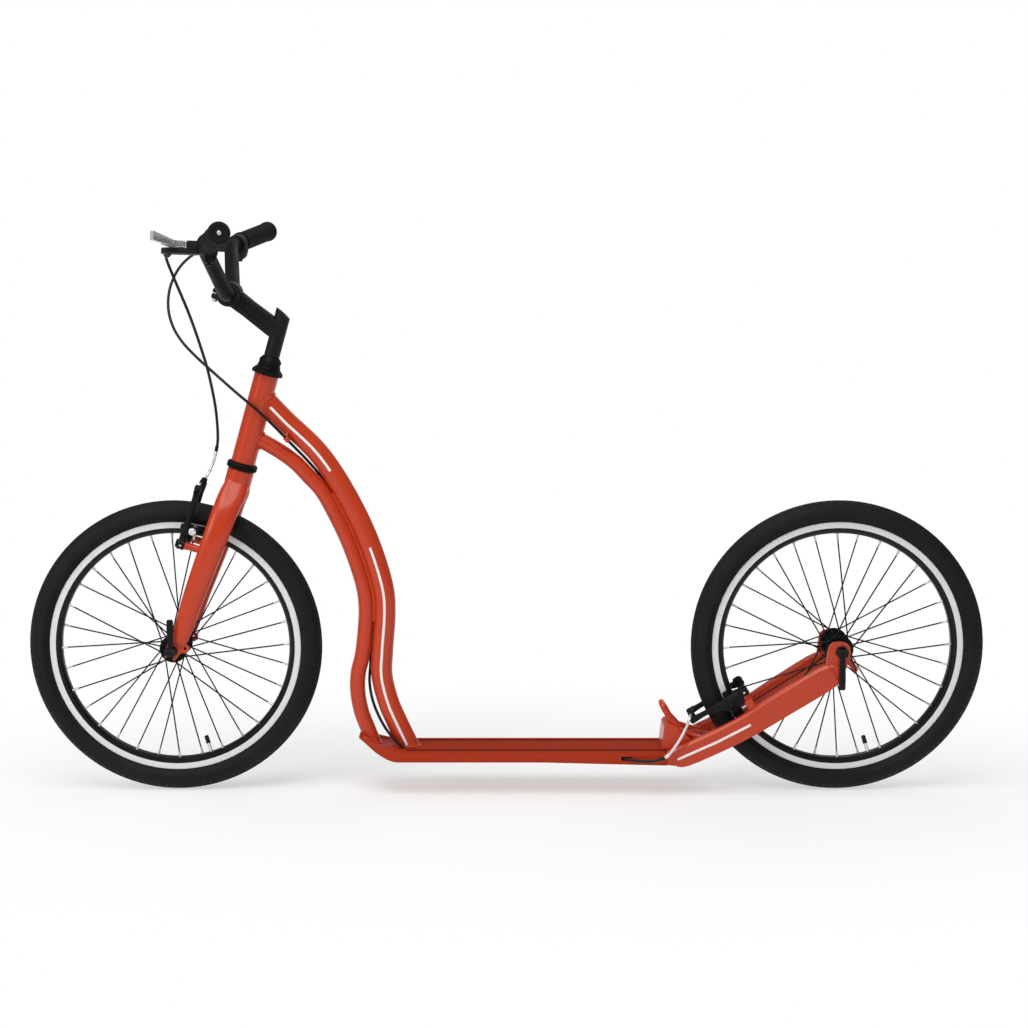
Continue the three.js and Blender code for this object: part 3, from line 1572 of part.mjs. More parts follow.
function staySolid(side, brakeSide) {
  const rings = stayStationShares.map(([run, height, depth, flare], i, all) => {
    const [nextRun, nextHeight] = all[Math.min(i + 1, all.length - 1)];
    const [lastRun, lastHeight] = all[Math.max(i - 1, 0)];
    const slope = Math.atan2((nextHeight - lastHeight) * stayRise, (nextRun - lastRun) * stayRun);
    const tilt = i === 0 ? 0 : slope;
    const y = (stayFrontSpacing + (stayRearSpacing - stayFrontSpacing) * flare) / 2;
    const middle = vec(deckRear + stayRun * run, side * y, deckTop + stayRise * height);
    const first = vec(-Math.sin(tilt), 0, Math.cos(tilt));
    return roundRing(middle, first, stayRise * depth * 0.5, vec(0, 1, 0), stayThickness / 2, staySides, 0.7);
  });
  const { x, z } = rearAxle;
  const outline = stayDropoutShares.map(([run, rise]) => [x + dropoutRadius * run, z + dropoutRadius * rise]);
  const parts = [dropoutPlate(side, rear.hubWidth, outline)];
  const tipY = (side * (rear.hubWidth + dropoutThickness)) / 2 + side * seatGap;
  if (side > 0) {
    const tail = new THREE.BoxGeometry(tailLength, dropoutThickness, dropoutRadius * 0.8);
    tail.translate(tailLength / 2, 0, 0).rotateY(tailSlope * degree);
    parts.push(solid(tail.translate(x, tipY, z)));
  }
  const axleHole = rod(
    vec(x, tipY - dropoutThickness, z),
    vec(x, tipY + dropoutThickness, z),
    axleRadius + seatGap,
    14,
  );
  const back = brakeArmThickness / 2 + seatGap;
  const bridgeY = [
    brakeSide * (brakeSpacing / 2 - brakeBossRadius),
    brakeSide * (brakeSpacing / 2 + brakeBridgeWidth / 2),
  ].sort((a, b) => a - b);
  const bridge = box(
    vec(back + brakeBossRadius, bridgeY[0], -brakeBossRadius),
    vec(back + stayBossReach, bridgeY[1], brakeBossRadius),
  );
  const boss = bossSolid(brakeSide, stayBossReach - overrun);
  parts.push(placed(bridge.add(boss), rearBrake.matrix));
  return parts.reduce((whole, part) => whole.add(part), loft(rings)).subtract(axleHole);
}
addPiece(bike, "left_rear_stay", staySolid(-1, 1), redPaint);
addPiece(bike, "right_rear_stay", staySolid(1, -1), redPaint);

// Heel guard between the stays: an upright plate with side gussets, and a bent hoop
function heelGuardSolid() {
  const top = deckTop + heelHeight;
  const outer = (stayFrontSpacing - stayThickness) / 2 - seatGap;
  const profile = [
    [heelPlateStart, deckTop],
    [heelPlateStart + heelPlateThickness, top - heelPlateThickness * 1.5],
    [heelPlateStart + heelPlateThickness * 4, top],
    [heelPlateStart + heelPlateThickness * 6, top - heelPlateThickness],
    [heelPlateEnd, deckTop + heelPlateThickness * 4],
    [heelPlateEnd, deckTop],
  ];
  const block = plate(profile, -outer, outer);
  const hollow = plate(
    [
      [heelPlateStart + heelPlateThickness, deckTop - overrun],
      [heelPlateStart + heelPlateThickness * 2, top - heelPlateThickness * 2.5],
      [heelPlateStart + heelPlateThickness * 4.5, top - heelPlateThickness * 1.6],
      [heelPlateEnd + overrun, deckTop + heelPlateThickness * 2.2],
      [heelPlateEnd + overrun, deckTop - overrun],
    ],
    -outer + heelPlateThickness,
    outer - heelPlateThickness,
  );
  const hoopFoot = vec(
    heelPlateEnd - heelPlateThickness * 5,
    heelHoopWidth / 2,
    deckTop + heelPlateThickness * 4,
  );
  const hoopKnee = vec(heelPlateStart + heelPlateThickness * 5, heelHoopWidth / 2, top - heelPlateThickness);
  const hoopTop = vec(
    heelPlateStart + heelPlateThickness * 2.5,
    heelHoopWidth / 3,
    deckTop + heelHoopHeight - heelHoopRadius,
  );
  const nearSide = [hoopFoot, hoopKnee, hoopTop];
  const hoopCorners = [...nearSide, ...nearSide.map(mirrored).reverse()];
  const hoop = swept(bentStations(hoopCorners, heelHoopRadius * 2), heelHoopRadius, heelHoopRadius, 8);
  return block.subtract(hollow).add(hoop);
}
addPiece(bike, "heel_guard", heelGuardSolid(), redPaint);

export default bike;
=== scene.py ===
"""Kick bike: visible pieces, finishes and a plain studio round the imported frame.

Lengths inside the modelling functions are millimetres in each piece's own frame; placing a piece
turns them into metres in the bike's frame. The bike rides towards -X and the rider's left is -Y.
"""

import json
import math

import bmesh
import bpy
from mathutils import Matrix, Vector


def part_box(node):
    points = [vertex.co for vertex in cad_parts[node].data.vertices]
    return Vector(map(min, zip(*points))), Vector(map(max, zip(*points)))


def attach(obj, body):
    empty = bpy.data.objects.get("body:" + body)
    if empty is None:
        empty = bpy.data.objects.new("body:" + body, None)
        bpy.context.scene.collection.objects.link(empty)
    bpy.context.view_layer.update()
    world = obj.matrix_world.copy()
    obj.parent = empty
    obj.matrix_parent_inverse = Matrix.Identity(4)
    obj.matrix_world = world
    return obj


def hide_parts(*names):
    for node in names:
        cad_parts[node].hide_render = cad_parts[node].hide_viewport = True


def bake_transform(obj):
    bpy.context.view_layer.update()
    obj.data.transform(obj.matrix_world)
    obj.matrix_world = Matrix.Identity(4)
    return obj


bl_info = {
    "name": "Kick bike dressing",
    "version": (1, 0, 0),
    "blender": (4, 5, 0),
    "location": "3D View > Sidebar > Kick bike",
    "description": "Models the visible pieces of a kick bike round its frame, with finishes and a studio",
    "category": "Object",
}

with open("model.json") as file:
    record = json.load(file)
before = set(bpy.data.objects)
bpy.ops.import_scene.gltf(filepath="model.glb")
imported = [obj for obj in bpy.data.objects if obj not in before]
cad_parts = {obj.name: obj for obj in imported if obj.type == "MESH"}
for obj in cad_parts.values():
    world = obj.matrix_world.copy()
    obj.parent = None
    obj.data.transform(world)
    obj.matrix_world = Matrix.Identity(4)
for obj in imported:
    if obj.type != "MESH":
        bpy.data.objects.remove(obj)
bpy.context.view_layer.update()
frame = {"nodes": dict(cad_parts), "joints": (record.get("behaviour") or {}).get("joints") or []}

MM = 0.001
joints = {joint["name"]: joint for joint in frame["joints"]}


def local_frame(origin, x, y, z):
    """Matrix from a piece's own millimetres to the bike's metres."""
    matrix = Matrix((x, y, z)).transposed().to_4x4()
    matrix.translation = origin
    return matrix @ Matrix.Scale(MM, 4)


def middle_of(node):
    low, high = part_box(node)
    return (low + high) / 2


# Frames that the pieces are modelled in
X, Y, Z = Vector((1, 0, 0)), Vector((0, 1, 0)), Vector((0, 0, 1))
bike_frame = local_frame(Vector(), X, Y, Z)
axle_frames = {end: local_frame(middle_of(end + "_hub"), X, Y, Z) for end in ("front", "rear")}
steering_up = Vector(joints["steering"]["axis"]).normalized()
steering_back = Vector((steering_up.z, 0, -steering_up.x))
steering_frame = local_frame(Vector(joints["steering"]["pos_m"]), steering_back, Y, steering_up)


def brake_frame(end, across):
    """Frame of a rim brake: between the pivots, X along them and Z up the arms."""
    left, right = (Vector(joints[end + "_" + side + "_arm_swing"]["pos_m"]) for side in ("left", "right"))
    x = Vector(joints[end + ("_right" if across > 0 else "_left") + "_arm_swing"]["axis"]).normalized()
    y = Y * across
    return local_frame((left + right) / 2, x, y, x.cross(y))


brake_frames = {"front": brake_frame("front", 1), "rear": brake_frame("rear", -1)}

# Handlebar's corners in the steering frame
bar_clamp = Vector((-93, 0, 263.4))
bar_rise_start = Vector((-93, 42, 263.4))
bar_bend = Vector((-130.7, 170, 332.3))
bar_end = Vector((-94, 334, 367.7))
lever_pivot = Vector((3.5, -40, 0))


def mirrored_point(point):
    return Vector((point.x, -point.y, point.z))


def lever_frame():
    """Frame of the left controls: X outward along the bar, Y back towards the rider, Z up."""
    start, end = (steering_frame @ mirrored_point(p) for p in (bar_bend, bar_end))
    x = (end - start).normalized()
    z = Vector(joints["left_brake_lever_pull"]["axis"]).normalized()
    y = z.cross(x)
    pivot = Vector(joints["left_brake_lever_pull"]["pos_m"])
    origin = pivot - (x * lever_pivot.x + y * lever_pivot.y) * MM
    return local_frame(origin, x, y, z)


controls_frame = lever_frame()


# Sizes and colours that a user would change
def colour_property(name, description, default):
    return bpy.props.FloatVectorProperty(
        name=name, description=description, default=default, subtype="COLOR", size=3, min=0, max=1
    )


class KickBikeFinishes(bpy.types.PropertyGroup):
    frame_red: colour_property("Frame paint", "Colour of the painted frame and fork", (0.54, 0.04, 0.006))
    stripe: colour_property("Stripes", "Colour of the plain stripes on the tubes", (0.9, 0.88, 0.84))
    tyre_black: colour_property("Tyre", "Colour of the tyre rubber", (0.006, 0.006, 0.0063))
    part_black: colour_property("Black parts", "Colour of the black coated parts", (0.005, 0.005, 0.0052))
    bare_metal: colour_property("Bare metal", "Colour of machined and polished metal", (0.84, 0.85, 0.86))
    floor: colour_property("Floor", "Colour of the studio floor", (0.97, 0.97, 0.97))


class KickBikeSizes(bpy.types.PropertyGroup):
    tread_blocks: bpy.props.IntProperty(
        name="Tread blocks", description="Blocks in one row round a tyre", default=120, min=24, max=160
    )
    spokes: bpy.props.IntProperty(
        name="Spokes", description="Spokes in one wheel", default=32, min=16, max=48, step=4
    )
    spoke_diameter: bpy.props.FloatProperty(
        name="Spoke diameter", description="Thickness of a spoke, in millimetres", default=2.4, min=1, max=3
    )
    stripe_width: bpy.props.FloatProperty(
        name="Stripe width", description="Width of the stripes, in millimetres", default=4.4, min=1, max=8
    )
    weld_radius: bpy.props.FloatProperty(
        name="Weld bead", description="Radius of a weld bead, in millimetres", default=2.2, min=0.5, max=5
    )


class KickBikeStudio(bpy.types.PropertyGroup):
    camera_place: bpy.props.FloatVectorProperty(
        name="Camera", description="Place of the camera", default=(0.0126, -3.7, 0.9475),
        subtype="XYZ", size=3,
    )
    camera_pitch: bpy.props.FloatProperty(
        name="Pitch", description="Camera's tilt below level", default=math.radians(7.4), subtype="ANGLE"
    )
    lens: bpy.props.FloatProperty(name="Lens", description="Focal length in millimetres", default=78.45)
    key_power: bpy.props.FloatProperty(
        name="Key light", description="Power of the large lamp overhead", default=92, unit="POWER"
    )
    fill_power: bpy.props.FloatProperty(
        name="Fill light", description="Power of the lamp beside the camera", default=36, unit="POWER"
    )


def finishes():
    return bpy.context.scene.kick_bike_finishes


def sizes():
    return bpy.context.scene.kick_bike_sizes


# Modelling helpers
MIRROR = Matrix.Diagonal((1, -1, 1, 1))
SHARP_ANGLE = 32


def deselect():
    bpy.ops.object.select_all(action="DESELECT")


def make_active(obj):
    deselect()
    obj.select_set(True)
    bpy.context.view_layer.objects.active = obj


def rectangle(a0, b0, a1, b1):
    """Outline of a rectangle between two opposite corners."""
    return [(a0, b0), (a1, b0), (a1, b1), (a0, b1)]


def symmetric(half):
    """A turned outline whose other half is its mirror image."""
    return [*half, *[(r, -y) for r, y in reversed(half)]]


def collar(inner, outer, low, high, edge):
    """Outline of a turned ring with its outer edges bevelled."""
    bevelled_edge = [(outer - edge, low), (outer, low + edge), (outer, high - edge), (outer - edge, high)]
    return [(inner, low), *bevelled_edge, (inner, high)]


def start_ring(name, points, fill="NOTHING"):
    """A circle primitive whose points are moved to an outline."""
    deselect()
    bpy.ops.mesh.primitive_circle_add(vertices=len(points), radius=1, fill_type=fill)
    obj = bpy.context.object
    obj.name = obj.data.name = name
    for vertex, point in zip(obj.data.vertices, points):
        vertex.co = point
    return obj


def cleaned(obj, merge=0.001):
    """Merges doubles, drops loose edges and turns the faces outwards."""
    make_active(obj)
    bpy.ops.object.mode_set(mode="EDIT")
    bpy.ops.mesh.select_all(action="SELECT")
    bpy.ops.mesh.remove_doubles(threshold=merge)
    bpy.ops.mesh.delete_loose(use_edges=True, use_verts=True)
    bpy.ops.mesh.select_all(action="SELECT")
    bpy.ops.mesh.normals_make_consistent(inside=False)
    bpy.ops.object.mode_set(mode="OBJECT")
    return obj


AXES = {"X": (1, 0, 0), "Y": (0, 1, 0), "Z": (0, 0, 1)}


def turned(name, profile, axis="Z", steps=48):
    """A closed outline of (radius, along) points, spun round an axis."""
    place = {
        "X": lambda r, a: (a, 0, r),
        "Y": lambda r, a: (0, a, r),
        "Z": lambda r, a: (r, 0, a),
    }[axis]
    obj = start_ring(name, [place(r, a) for r, a in profile])
    bpy.ops.object.mode_set(mode="EDIT")
    bpy.ops.mesh.select_all(action="SELECT")
    bpy.ops.mesh.spin(steps=steps, angle=math.tau, center=(0, 0, 0), axis=AXES[axis])
    bpy.ops.object.mode_set(mode="OBJECT")
    return cleaned(obj)


def turned_between(name, start, end, profile, steps=24, finish=None):
    """A turned piece whose (radius, along) outline runs from one point towards another."""
    obj = turned(name, profile, "Z", steps)
    direction = Vector(end) - Vector(start)
    turn = direction.to_track_quat("Z", "Y").to_matrix().to_4x4()
    obj.data.transform(Matrix.Translation(start) @ turn)
    return coat(obj, finish) if finish else obj


def rounded_rod(name, start, end, radius, edge=0.6, steps=24, finish=None):
    length = (Vector(end) - Vector(start)).length
    corner = min(edge, radius * 0.6, length * 0.4)
    profile = [
        (0, 0),
        (radius - corner, 0),
        (radius - corner * 0.3, corner * 0.3),
        (radius, corner),
        (radius, length - corner),
        (radius - corner * 0.3, length - corner * 0.3),
        (radius - corner, length),
        (0, length),
    ]
    return turned_between(name, start, end, profile, steps, finish)


def loft(name, rings):
    """A ring primitive extruded from station to station, closed at both ends."""
    old = [Vector(p) for p in rings[0]]
    obj = start_ring(name, old, "NGON")
    bpy.ops.object.mode_set(mode="EDIT")
    bpy.ops.mesh.select_all(action="SELECT")
    for ring in rings[1:]:
        new = [Vector(p) for p in ring]
        bpy.ops.mesh.extrude_region_move()
        mesh = bmesh.from_edit_mesh(obj.data)
        moving = [v for v in mesh.verts if v.select]
        places = [min(range(len(old)), key=lambda k: (v.co - old[k]).length_squared) for v in moving]
        for vertex, k in zip(moving, places):
            vertex.co = new[k]
        bmesh.update_edit_mesh(obj.data)
        old = new
    bpy.ops.object.mode_set(mode="OBJECT")
    return cleaned(obj)


def plate(name, outline, low, high, bevel=0.6, plane="XZ"):
    """An outline extruded between two depths, with its edges rounded."""
    place = {
        "XZ": lambda a, b, d: (a, d, b),
        "XY": lambda a, b, d: (a, b, d),
        "YZ": lambda a, b, d: (d, a, b),
    }[plane]
    obj = loft(name, [[place(a, b, d) for a, b in outline] for d in (low, high)])
    return bevelled(obj, bevel)


def modified(obj, kind, **settings):
    """Adds a modifier and applies it."""
    modifier = obj.modifiers.new(kind, kind)
    for key, value in settings.items():
        setattr(modifier, key, value)
    make_active(obj)
    bpy.ops.object.modifier_apply(modifier=modifier.name)
    return obj


def bevelled(obj, width, segments=2, angle=30):
    return modified(
        obj, "BEVEL", width=width, segments=segments, limit_method="ANGLE",
        angle_limit=math.radians(angle), harden_normals=False,
    )


def cut(obj, cutter):
    modified(obj, "BOOLEAN", operation="DIFFERENCE", object=cutter, solver="EXACT")
    bpy.data.objects.remove(cutter)
    return obj


def drilled(obj, start, end, radius, steps=24):
    """Cuts a round hole along a line."""
    return cut(obj, rounded_rod("hole", start, end, radius, 0.1, steps))


def smooth_route(points, step=3.0):
    """Points of one smooth curve through the given ones, a few millimetres apart."""
    points = [Vector(p) for p in points]
    ends = [points[0] * 2 - points[1], *points, points[-1] * 2 - points[-2]]
    route = []
    for p0, p1, p2, p3 in zip(ends, ends[1:], ends[2:], ends[3:]):
        t0 = 0
        t1 = t0 + max((p1 - p0).length, 1e-4) ** 0.5
        t2 = t1 + max((p2 - p1).length, 1e-4) ** 0.5
        t3 = t2 + max((p3 - p2).length, 1e-4) ** 0.5
        count = max(1, round((p2 - p1).length / step))
        for i in range(count):
            t = t1 + (t2 - t1) * i / count
            a1 = p0 * ((t1 - t) / (t1 - t0)) + p1 * ((t - t0) / (t1 - t0))
            a2 = p1 * ((t2 - t) / (t2 - t1)) + p2 * ((t - t1) / (t2 - t1))
            a3 = p2 * ((t3 - t) / (t3 - t2)) + p3 * ((t - t2) / (t3 - t2))
            b1 = a1 * ((t2 - t) / (t2 - t0)) + a2 * ((t - t0) / (t2 - t0))
            b2 = a2 * ((t3 - t) / (t3 - t1)) + a3 * ((t - t1) / (t3 - t1))
            route.append(b1 * ((t2 - t) / (t2 - t1)) + b2 * ((t - t1) / (t2 - t1)))
    return [*route, points[-1]]


def bent_route(corners, radius, step=3.0):
    """Straight runs joined by bends, as a tube bender makes them."""
    corners = [Vector(c) for c in corners]
    route = [corners[0]]
    for before, corner, after in zip(corners, corners[1:], corners[2:]):
        first, second = (corner - before).normalized(), (after - corner).normalized()
        setback = radius * math.tan(first.angle(second) / 2)
        enter, leave = corner - first * setback, corner + second * setback
        count = max(4, round(2 * setback / step))
        for i in range(count + 1):
            t = i / count
            route.append(enter * (1 - t) ** 2 + corner * 2 * t * (1 - t) + leave * t * t)
    return [*route, corners[-1]]


def tube(name, route, radius, resolution=6, radii=None):
    """A round tube along a route, capped at both ends."""
    deselect()
    bpy.ops.curve.primitive_nurbs_path_add()
    obj = bpy.context.object
    obj.name = name
    curve = obj.data
    curve.splines.clear()
    spline = curve.splines.new("POLY")
    spline.points.add(len(route) - 1)
    for i, (point, place) in enumerate(zip(spline.points, route)):
        point.co = (*place, 1)
        point.radius = radii[i] if radii else 1
    curve.dimensions = "3D"
    curve.twist_mode = "MINIMUM"
    curve.bevel_depth = radius
    curve.bevel_resolution = resolution
    curve.use_fill_caps = True
    make_active(obj)
    bpy.ops.object.convert(target="MESH")
    obj = bpy.context.object
    obj.name = obj.data.name = name
    return cleaned(obj, 0.0001)


def copied(obj, name, matrix):
    """A copy with its own mesh, moved by a matrix."""
    new = obj.copy()
    new.data = obj.data.copy()
    new.name = new.data.name = name
    bpy.context.scene.collection.objects.link(new)
    new.data.transform(matrix)
    if matrix.determinant() < 0:
        new.data.flip_normals()
    return new


def joined(name, parts):
    deselect()
    for part in parts:
        part.select_set(True)
    bpy.context.view_layer.objects.active = parts[0]
    if len(parts) > 1:
        bpy.ops.object.join()
    parts[0].name = parts[0].data.name = name
    return parts[0]


def coat(obj, *coats):
    """Gives a piece its finishes, each by its name or as a material."""
    obj.data.materials.clear()
    for finish in coats:
        obj.data.materials.append(material(finish) if isinstance(finish, str) else finish)
    return obj


def smoothed(obj, angle):
    """Shades a piece smooth but for edges sharper than an angle."""
    make_active(obj)
    bpy.ops.object.shade_smooth_by_angle(angle=math.radians(angle))
    return obj


def finished(obj, body, matrix=bike_frame, finish=None, replaces=(), angle=SHARP_ANGLE):
    """Places a piece, shades it, and lets it ride on its body."""
    obj.data.transform(matrix)
    if matrix.determinant() < 0:
        obj.data.flip_normals()
    if finish:
        coat(obj, finish)
    smoothed(obj, angle)
    modified(obj, "WEIGHTED_NORMAL", keep_sharp=True)
    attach(obj, body)
    if replaces:
        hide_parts(*replaces)
    return obj


def mirror_finished(obj, name, body, replaces=()):
    """The same piece on the bike's other side."""
    new = copied(obj, name, MIRROR)
    new.parent = None
    for key in list(new.keys()):
        if key.startswith("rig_"):
            del new[key]
    return finished(new, body, Matrix.Identity(4), replaces=replaces)


# Materials
EDGE_POINTINESS = (0.52, 0.62)
GRAIN_DEPTH = 0.0004
CLEAR_COAT_ROUGHNESS = 0.12
MACHINED_RINGS = 420.0
MACHINED_DEPTH = 0.0003


def new_material(name):
    material = bpy.data.materials.new(name)
    material.use_nodes = True
    tree = material.node_tree
    shader = tree.nodes["Principled BSDF"]
    return material, tree, shader


def node(tree, kind, inputs=None, **settings):
    """A shader node with its settings, and with its inputs set or linked."""
    made = tree.nodes.new(kind)
    for key, value in settings.items():
        setattr(made, key, value)
    for key, value in (inputs or {}).items():
        if isinstance(value, bpy.types.NodeSocket):
            tree.links.new(value, made.inputs[key])
        else:
            made.inputs[key].default_value = value
    return made


def shade_of(colour, factor):
    """A lighter or darker shade, with full opacity."""
    return (*[min(1.0, c * factor) for c in colour], 1)


def mixed(tree, factor, first, second):
    """Colour between two others."""
    made = node(tree, "ShaderNodeMix", data_type="RGBA")
    for socket, value in ((0, factor), (6, first), (7, second)):
        if isinstance(value, bpy.types.NodeSocket):
            tree.links.new(value, made.inputs[socket])
        else:
            made.inputs[socket].default_value = value
    return made.outputs[2]


def surface(
    name, colour, roughness, metallic=0.0, coat_weight=0.0, grain=900.0, bump=0.05, blotch=35.0,
    variation=0.12, rough_spread=0.08, wear=0.0, wear_colour=(0.5, 0.5, 0.5), stretch=(1, 1, 1),
    specular=0.5,
):
    """A finish with soft colour changes, uneven gloss, fine grain and a little wear on its edges."""
    material, tree, shader = new_material(name)
    coordinates = node(tree, "ShaderNodeTexCoord").outputs["Object"]
    stretched = node(tree, "ShaderNodeMapping", {"Vector": coordinates, "Scale": stretch}).outputs[0]
    cloud = node(tree, "ShaderNodeTexNoise", {"Vector": coordinates, "Scale": blotch, "Detail": 4.0})
    base = mixed(
        tree, cloud.outputs["Fac"], shade_of(colour, 1 - variation), shade_of(colour, 1 + variation)
    )
    if wear:
        edges = node(
            tree, "ShaderNodeMapRange",
            {
                "Value": node(tree, "ShaderNodeNewGeometry").outputs["Pointiness"],
                "From Min": EDGE_POINTINESS[0], "From Max": EDGE_POINTINESS[1], "To Min": 0.0, "To Max": wear,
            },
        )
        base = mixed(tree, edges.outputs["Result"], base, (*wear_colour, 1))
    tree.links.new(base, shader.inputs["Base Color"])
    fine = node(tree, "ShaderNodeTexNoise", {"Vector": stretched, "Scale": grain, "Detail": 3.0})
    spread = node(
        tree, "ShaderNodeMapRange",
        {
            "Value": cloud.outputs["Fac"], "From Min": 0.3, "From Max": 0.7,
            "To Min": max(0.02, roughness - rough_spread), "To Max": min(1.0, roughness + rough_spread),
        },
    )
    tree.links.new(spread.outputs["Result"], shader.inputs["Roughness"])
    raised = node(
        tree, "ShaderNodeBump", {"Strength": bump, "Distance": GRAIN_DEPTH, "Height": fine.outputs["Fac"]}
    )
    tree.links.new(raised.outputs["Normal"], shader.inputs["Normal"])
    shader.inputs["Metallic"].default_value = metallic
    shader.inputs["Specular IOR Level"].default_value = specular
    shader.inputs["Coat Weight"].default_value = coat_weight
    shader.inputs["Coat Roughness"].default_value = CLEAR_COAT_ROUGHNESS
    return material


def machined(name, colour, centre):
    """Bare rim metal with fine rings about the axle."""
    material = surface(name, colour, 0.46, metallic=0.25, grain=700, bump=0.03, variation=0.03)
    tree = material.node_tree
    shader = tree.nodes["Principled BSDF"]
    coordinates = node(tree, "ShaderNodeTexCoord").outputs["Object"]
    centred = node(tree, "ShaderNodeMapping", {"Vector": coordinates, "Location": [-c for c in centre]})
    rings = node(
        tree, "ShaderNodeTexWave",
        {"Vector": centred.outputs[0], "Scale": MACHINED_RINGS, "Distortion": 0.6, "Detail": 2.0},
        wave_type="RINGS", rings_direction="Y",
    )
    raised = node(
        tree, "ShaderNodeBump",
        {"Strength": 0.12, "Distance": MACHINED_DEPTH, "Height": rings.outputs["Fac"]},
    )
    tree.links.new(raised.outputs["Normal"], shader.inputs["Normal"])
    return material


made_materials = {}

# Each finish: which of the user's colours it has, how light a shade of it, and its surface
FINISHES = {
    "tyre_rubber": ("tyre_black", 1, dict(
        roughness=0.7, grain=520, bump=0.12, blotch=22, variation=0.16, wear=0.04,
        wear_colour=(0.02, 0.02, 0.02), specular=0.26,
    )),
    "red_paint": ("frame_red", 1, dict(
        roughness=0.34, coat_weight=0.25, grain=1400, bump=0.03, blotch=18, variation=0.07,
        rough_spread=0.05, wear=0.08, wear_colour=(0.7, 0.1, 0.05), specular=0.35,
    )),
    "weld": ("frame_red", 1, dict(
        roughness=0.4, coat_weight=0.15, grain=420, bump=0.35, blotch=60, variation=0.1, specular=0.35,
    )),
    # Painted shade: the board's sides, underside and nose have the frame paint darkened to three quarters
    "deck_paint": ("frame_red", 0.76, dict(
        roughness=0.5, bump=0.16, blotch=30, variation=0.1, wear=0.06, wear_colour=(0.6, 0.08, 0.04),
        specular=0.2,
    )),
    # Painted shade: the board's top has the frame paint darkened further
    "deck_top": ("frame_red", 0.58, dict(
        roughness=0.7, bump=0.22, blotch=30, variation=0.14, specular=0.1,
    )),
    # Painted shade: the faces inside the board's grooves are painted nearly black, for the shade in the
    # grooves
    "deck_groove": ("frame_red", 0.12, dict(
        roughness=0.8, bump=0.2, blotch=40, variation=0.2, specular=0.05,
    )),
    "stripe": ("stripe", 1, dict(roughness=0.4, bump=0.02, variation=0.03)),
    "black_coat": ("part_black", 1, dict(
        roughness=0.5, grain=1100, bump=0.08, variation=0.15, wear=0.12, wear_colour=(0.04, 0.04, 0.04),
        specular=0.1,
    )),
    "cast_black": ("part_black", 1, dict(
        roughness=0.5, grain=700, bump=0.16, variation=0.2, wear=0.2, wear_colour=(0.05, 0.05, 0.05),
        specular=0.2,
    )),
    "black_plastic": ("part_black", 1.2, dict(
        roughness=0.55, grain=800, bump=0.2, variation=0.1, specular=0.3,
    )),
    "housing": ("part_black", 0.9, dict(
        roughness=0.45, grain=500, bump=0.08, variation=0.08, specular=0.3,
    )),
    "grip_rubber": ("part_black", 1.1, dict(
        roughness=0.8, grain=600, bump=0.35, variation=0.15, specular=0.2,
    )),
    "pad_rubber": ("part_black", 1.3, dict(
        roughness=0.82, grain=500, bump=0.3, variation=0.15, specular=0.2,
    )),
    "bare_metal": ("bare_metal", 1, dict(
        roughness=0.3, metallic=0.7, grain=260, bump=0.07, variation=0.06, stretch=(1, 8, 1), wear=0.2,
        wear_colour=(0.9, 0.9, 0.9),
    )),
    "polished": ("bare_metal", 1, dict(roughness=0.22, metallic=0.7, grain=700, bump=0.02, variation=0.04)),
    "steel": ("bare_metal", 0.82, dict(roughness=0.36, metallic=1.0, bump=0.08, variation=0.08)),
    "spoke": ("part_black", 1, dict(roughness=0.42, metallic=0.2, bump=0.03, variation=0.1, specular=0.25)),
    "rim_black": ("part_black", 1.1, dict(
        roughness=0.36, metallic=0.2, grain=800, bump=0.04, variation=0.1, specular=0.3,
    )),
}


def material(name):
    """One of the bike's finishes, made when it is first asked for."""
    if name not in made_materials:
        colour, shade, settings = FINISHES[name]
        made_materials[name] = surface(name, shade_of(getattr(finishes(), colour), shade)[:3], **settings)
    return made_materials[name]


# Wheels, with outlines as (radius, across)
WHEEL_ENDS = ("front", "rear")
HUB_WIDTHS = {"front": 100, "rear": 110}
FLANGE_SPACINGS = {"front": 66, "rear": 72}
RIM_EDGE = 210.0
RIM_APEX = 190.0
RIM_HALF_WIDTH = 12
BRAKE_TRACK_START = 199.9
# Radius to the middle of a tyre's section
TYRE_ARC = 224.0
TYRE_INSIDE = 17.6
INNER_TUBE_RADIUS = 15.5
TREAD_RADIUS = 19.38
TREAD_HEIGHT = 2
TREAD_NARROWING = 0.88
# Rows of the tread: angle round the section, length, width and slant
TREAD_ROWS = ((20, 9.6, 6.4, 3.4), (41, 7.4, 5.6, 2.2))
VALVE_ANGLE = math.radians(163)
VALVE_FOOT = 206
VALVE_CAP_END = RIM_APEX - 15


def arc_point(radius, degrees):
    """Point of a tyre's section, at an angle from its crown."""
    angle = math.radians(degrees)
    return TYRE_ARC + radius * math.cos(angle), radius * math.sin(angle)


def tyre_outline():
    """Cross-section of a tyre: bead, sidewall with its moulded line, shoulder and ribbed crown."""
    half = []
    for angle, radius in (
        (0, 21), (9, 21), (11, 20), (30, 20), (50, 20), (52, 20.7), (55, 20.9), (62, 20.9), (70, 20.6),
        (80, 20.7), (90, 20.8), (96, 20.8), (98, 21.0), (101, 21.0), (103, 20.6), (110, 20.2),
    ):
        half.append(arc_point(radius, angle))
    right = [*half, (210.4, 10.3), (203.2, 10.0), (203.2, 7.4)]
    inner = [arc_point(TYRE_INSIDE, angle) for angle in (100, 70, 35)]
    left = [(r, -y) for r, y in reversed(right[1:])]
    return [*right, *inner, arc_point(TYRE_INSIDE, 0), *[(r, -y) for r, y in reversed(inner)], *left]


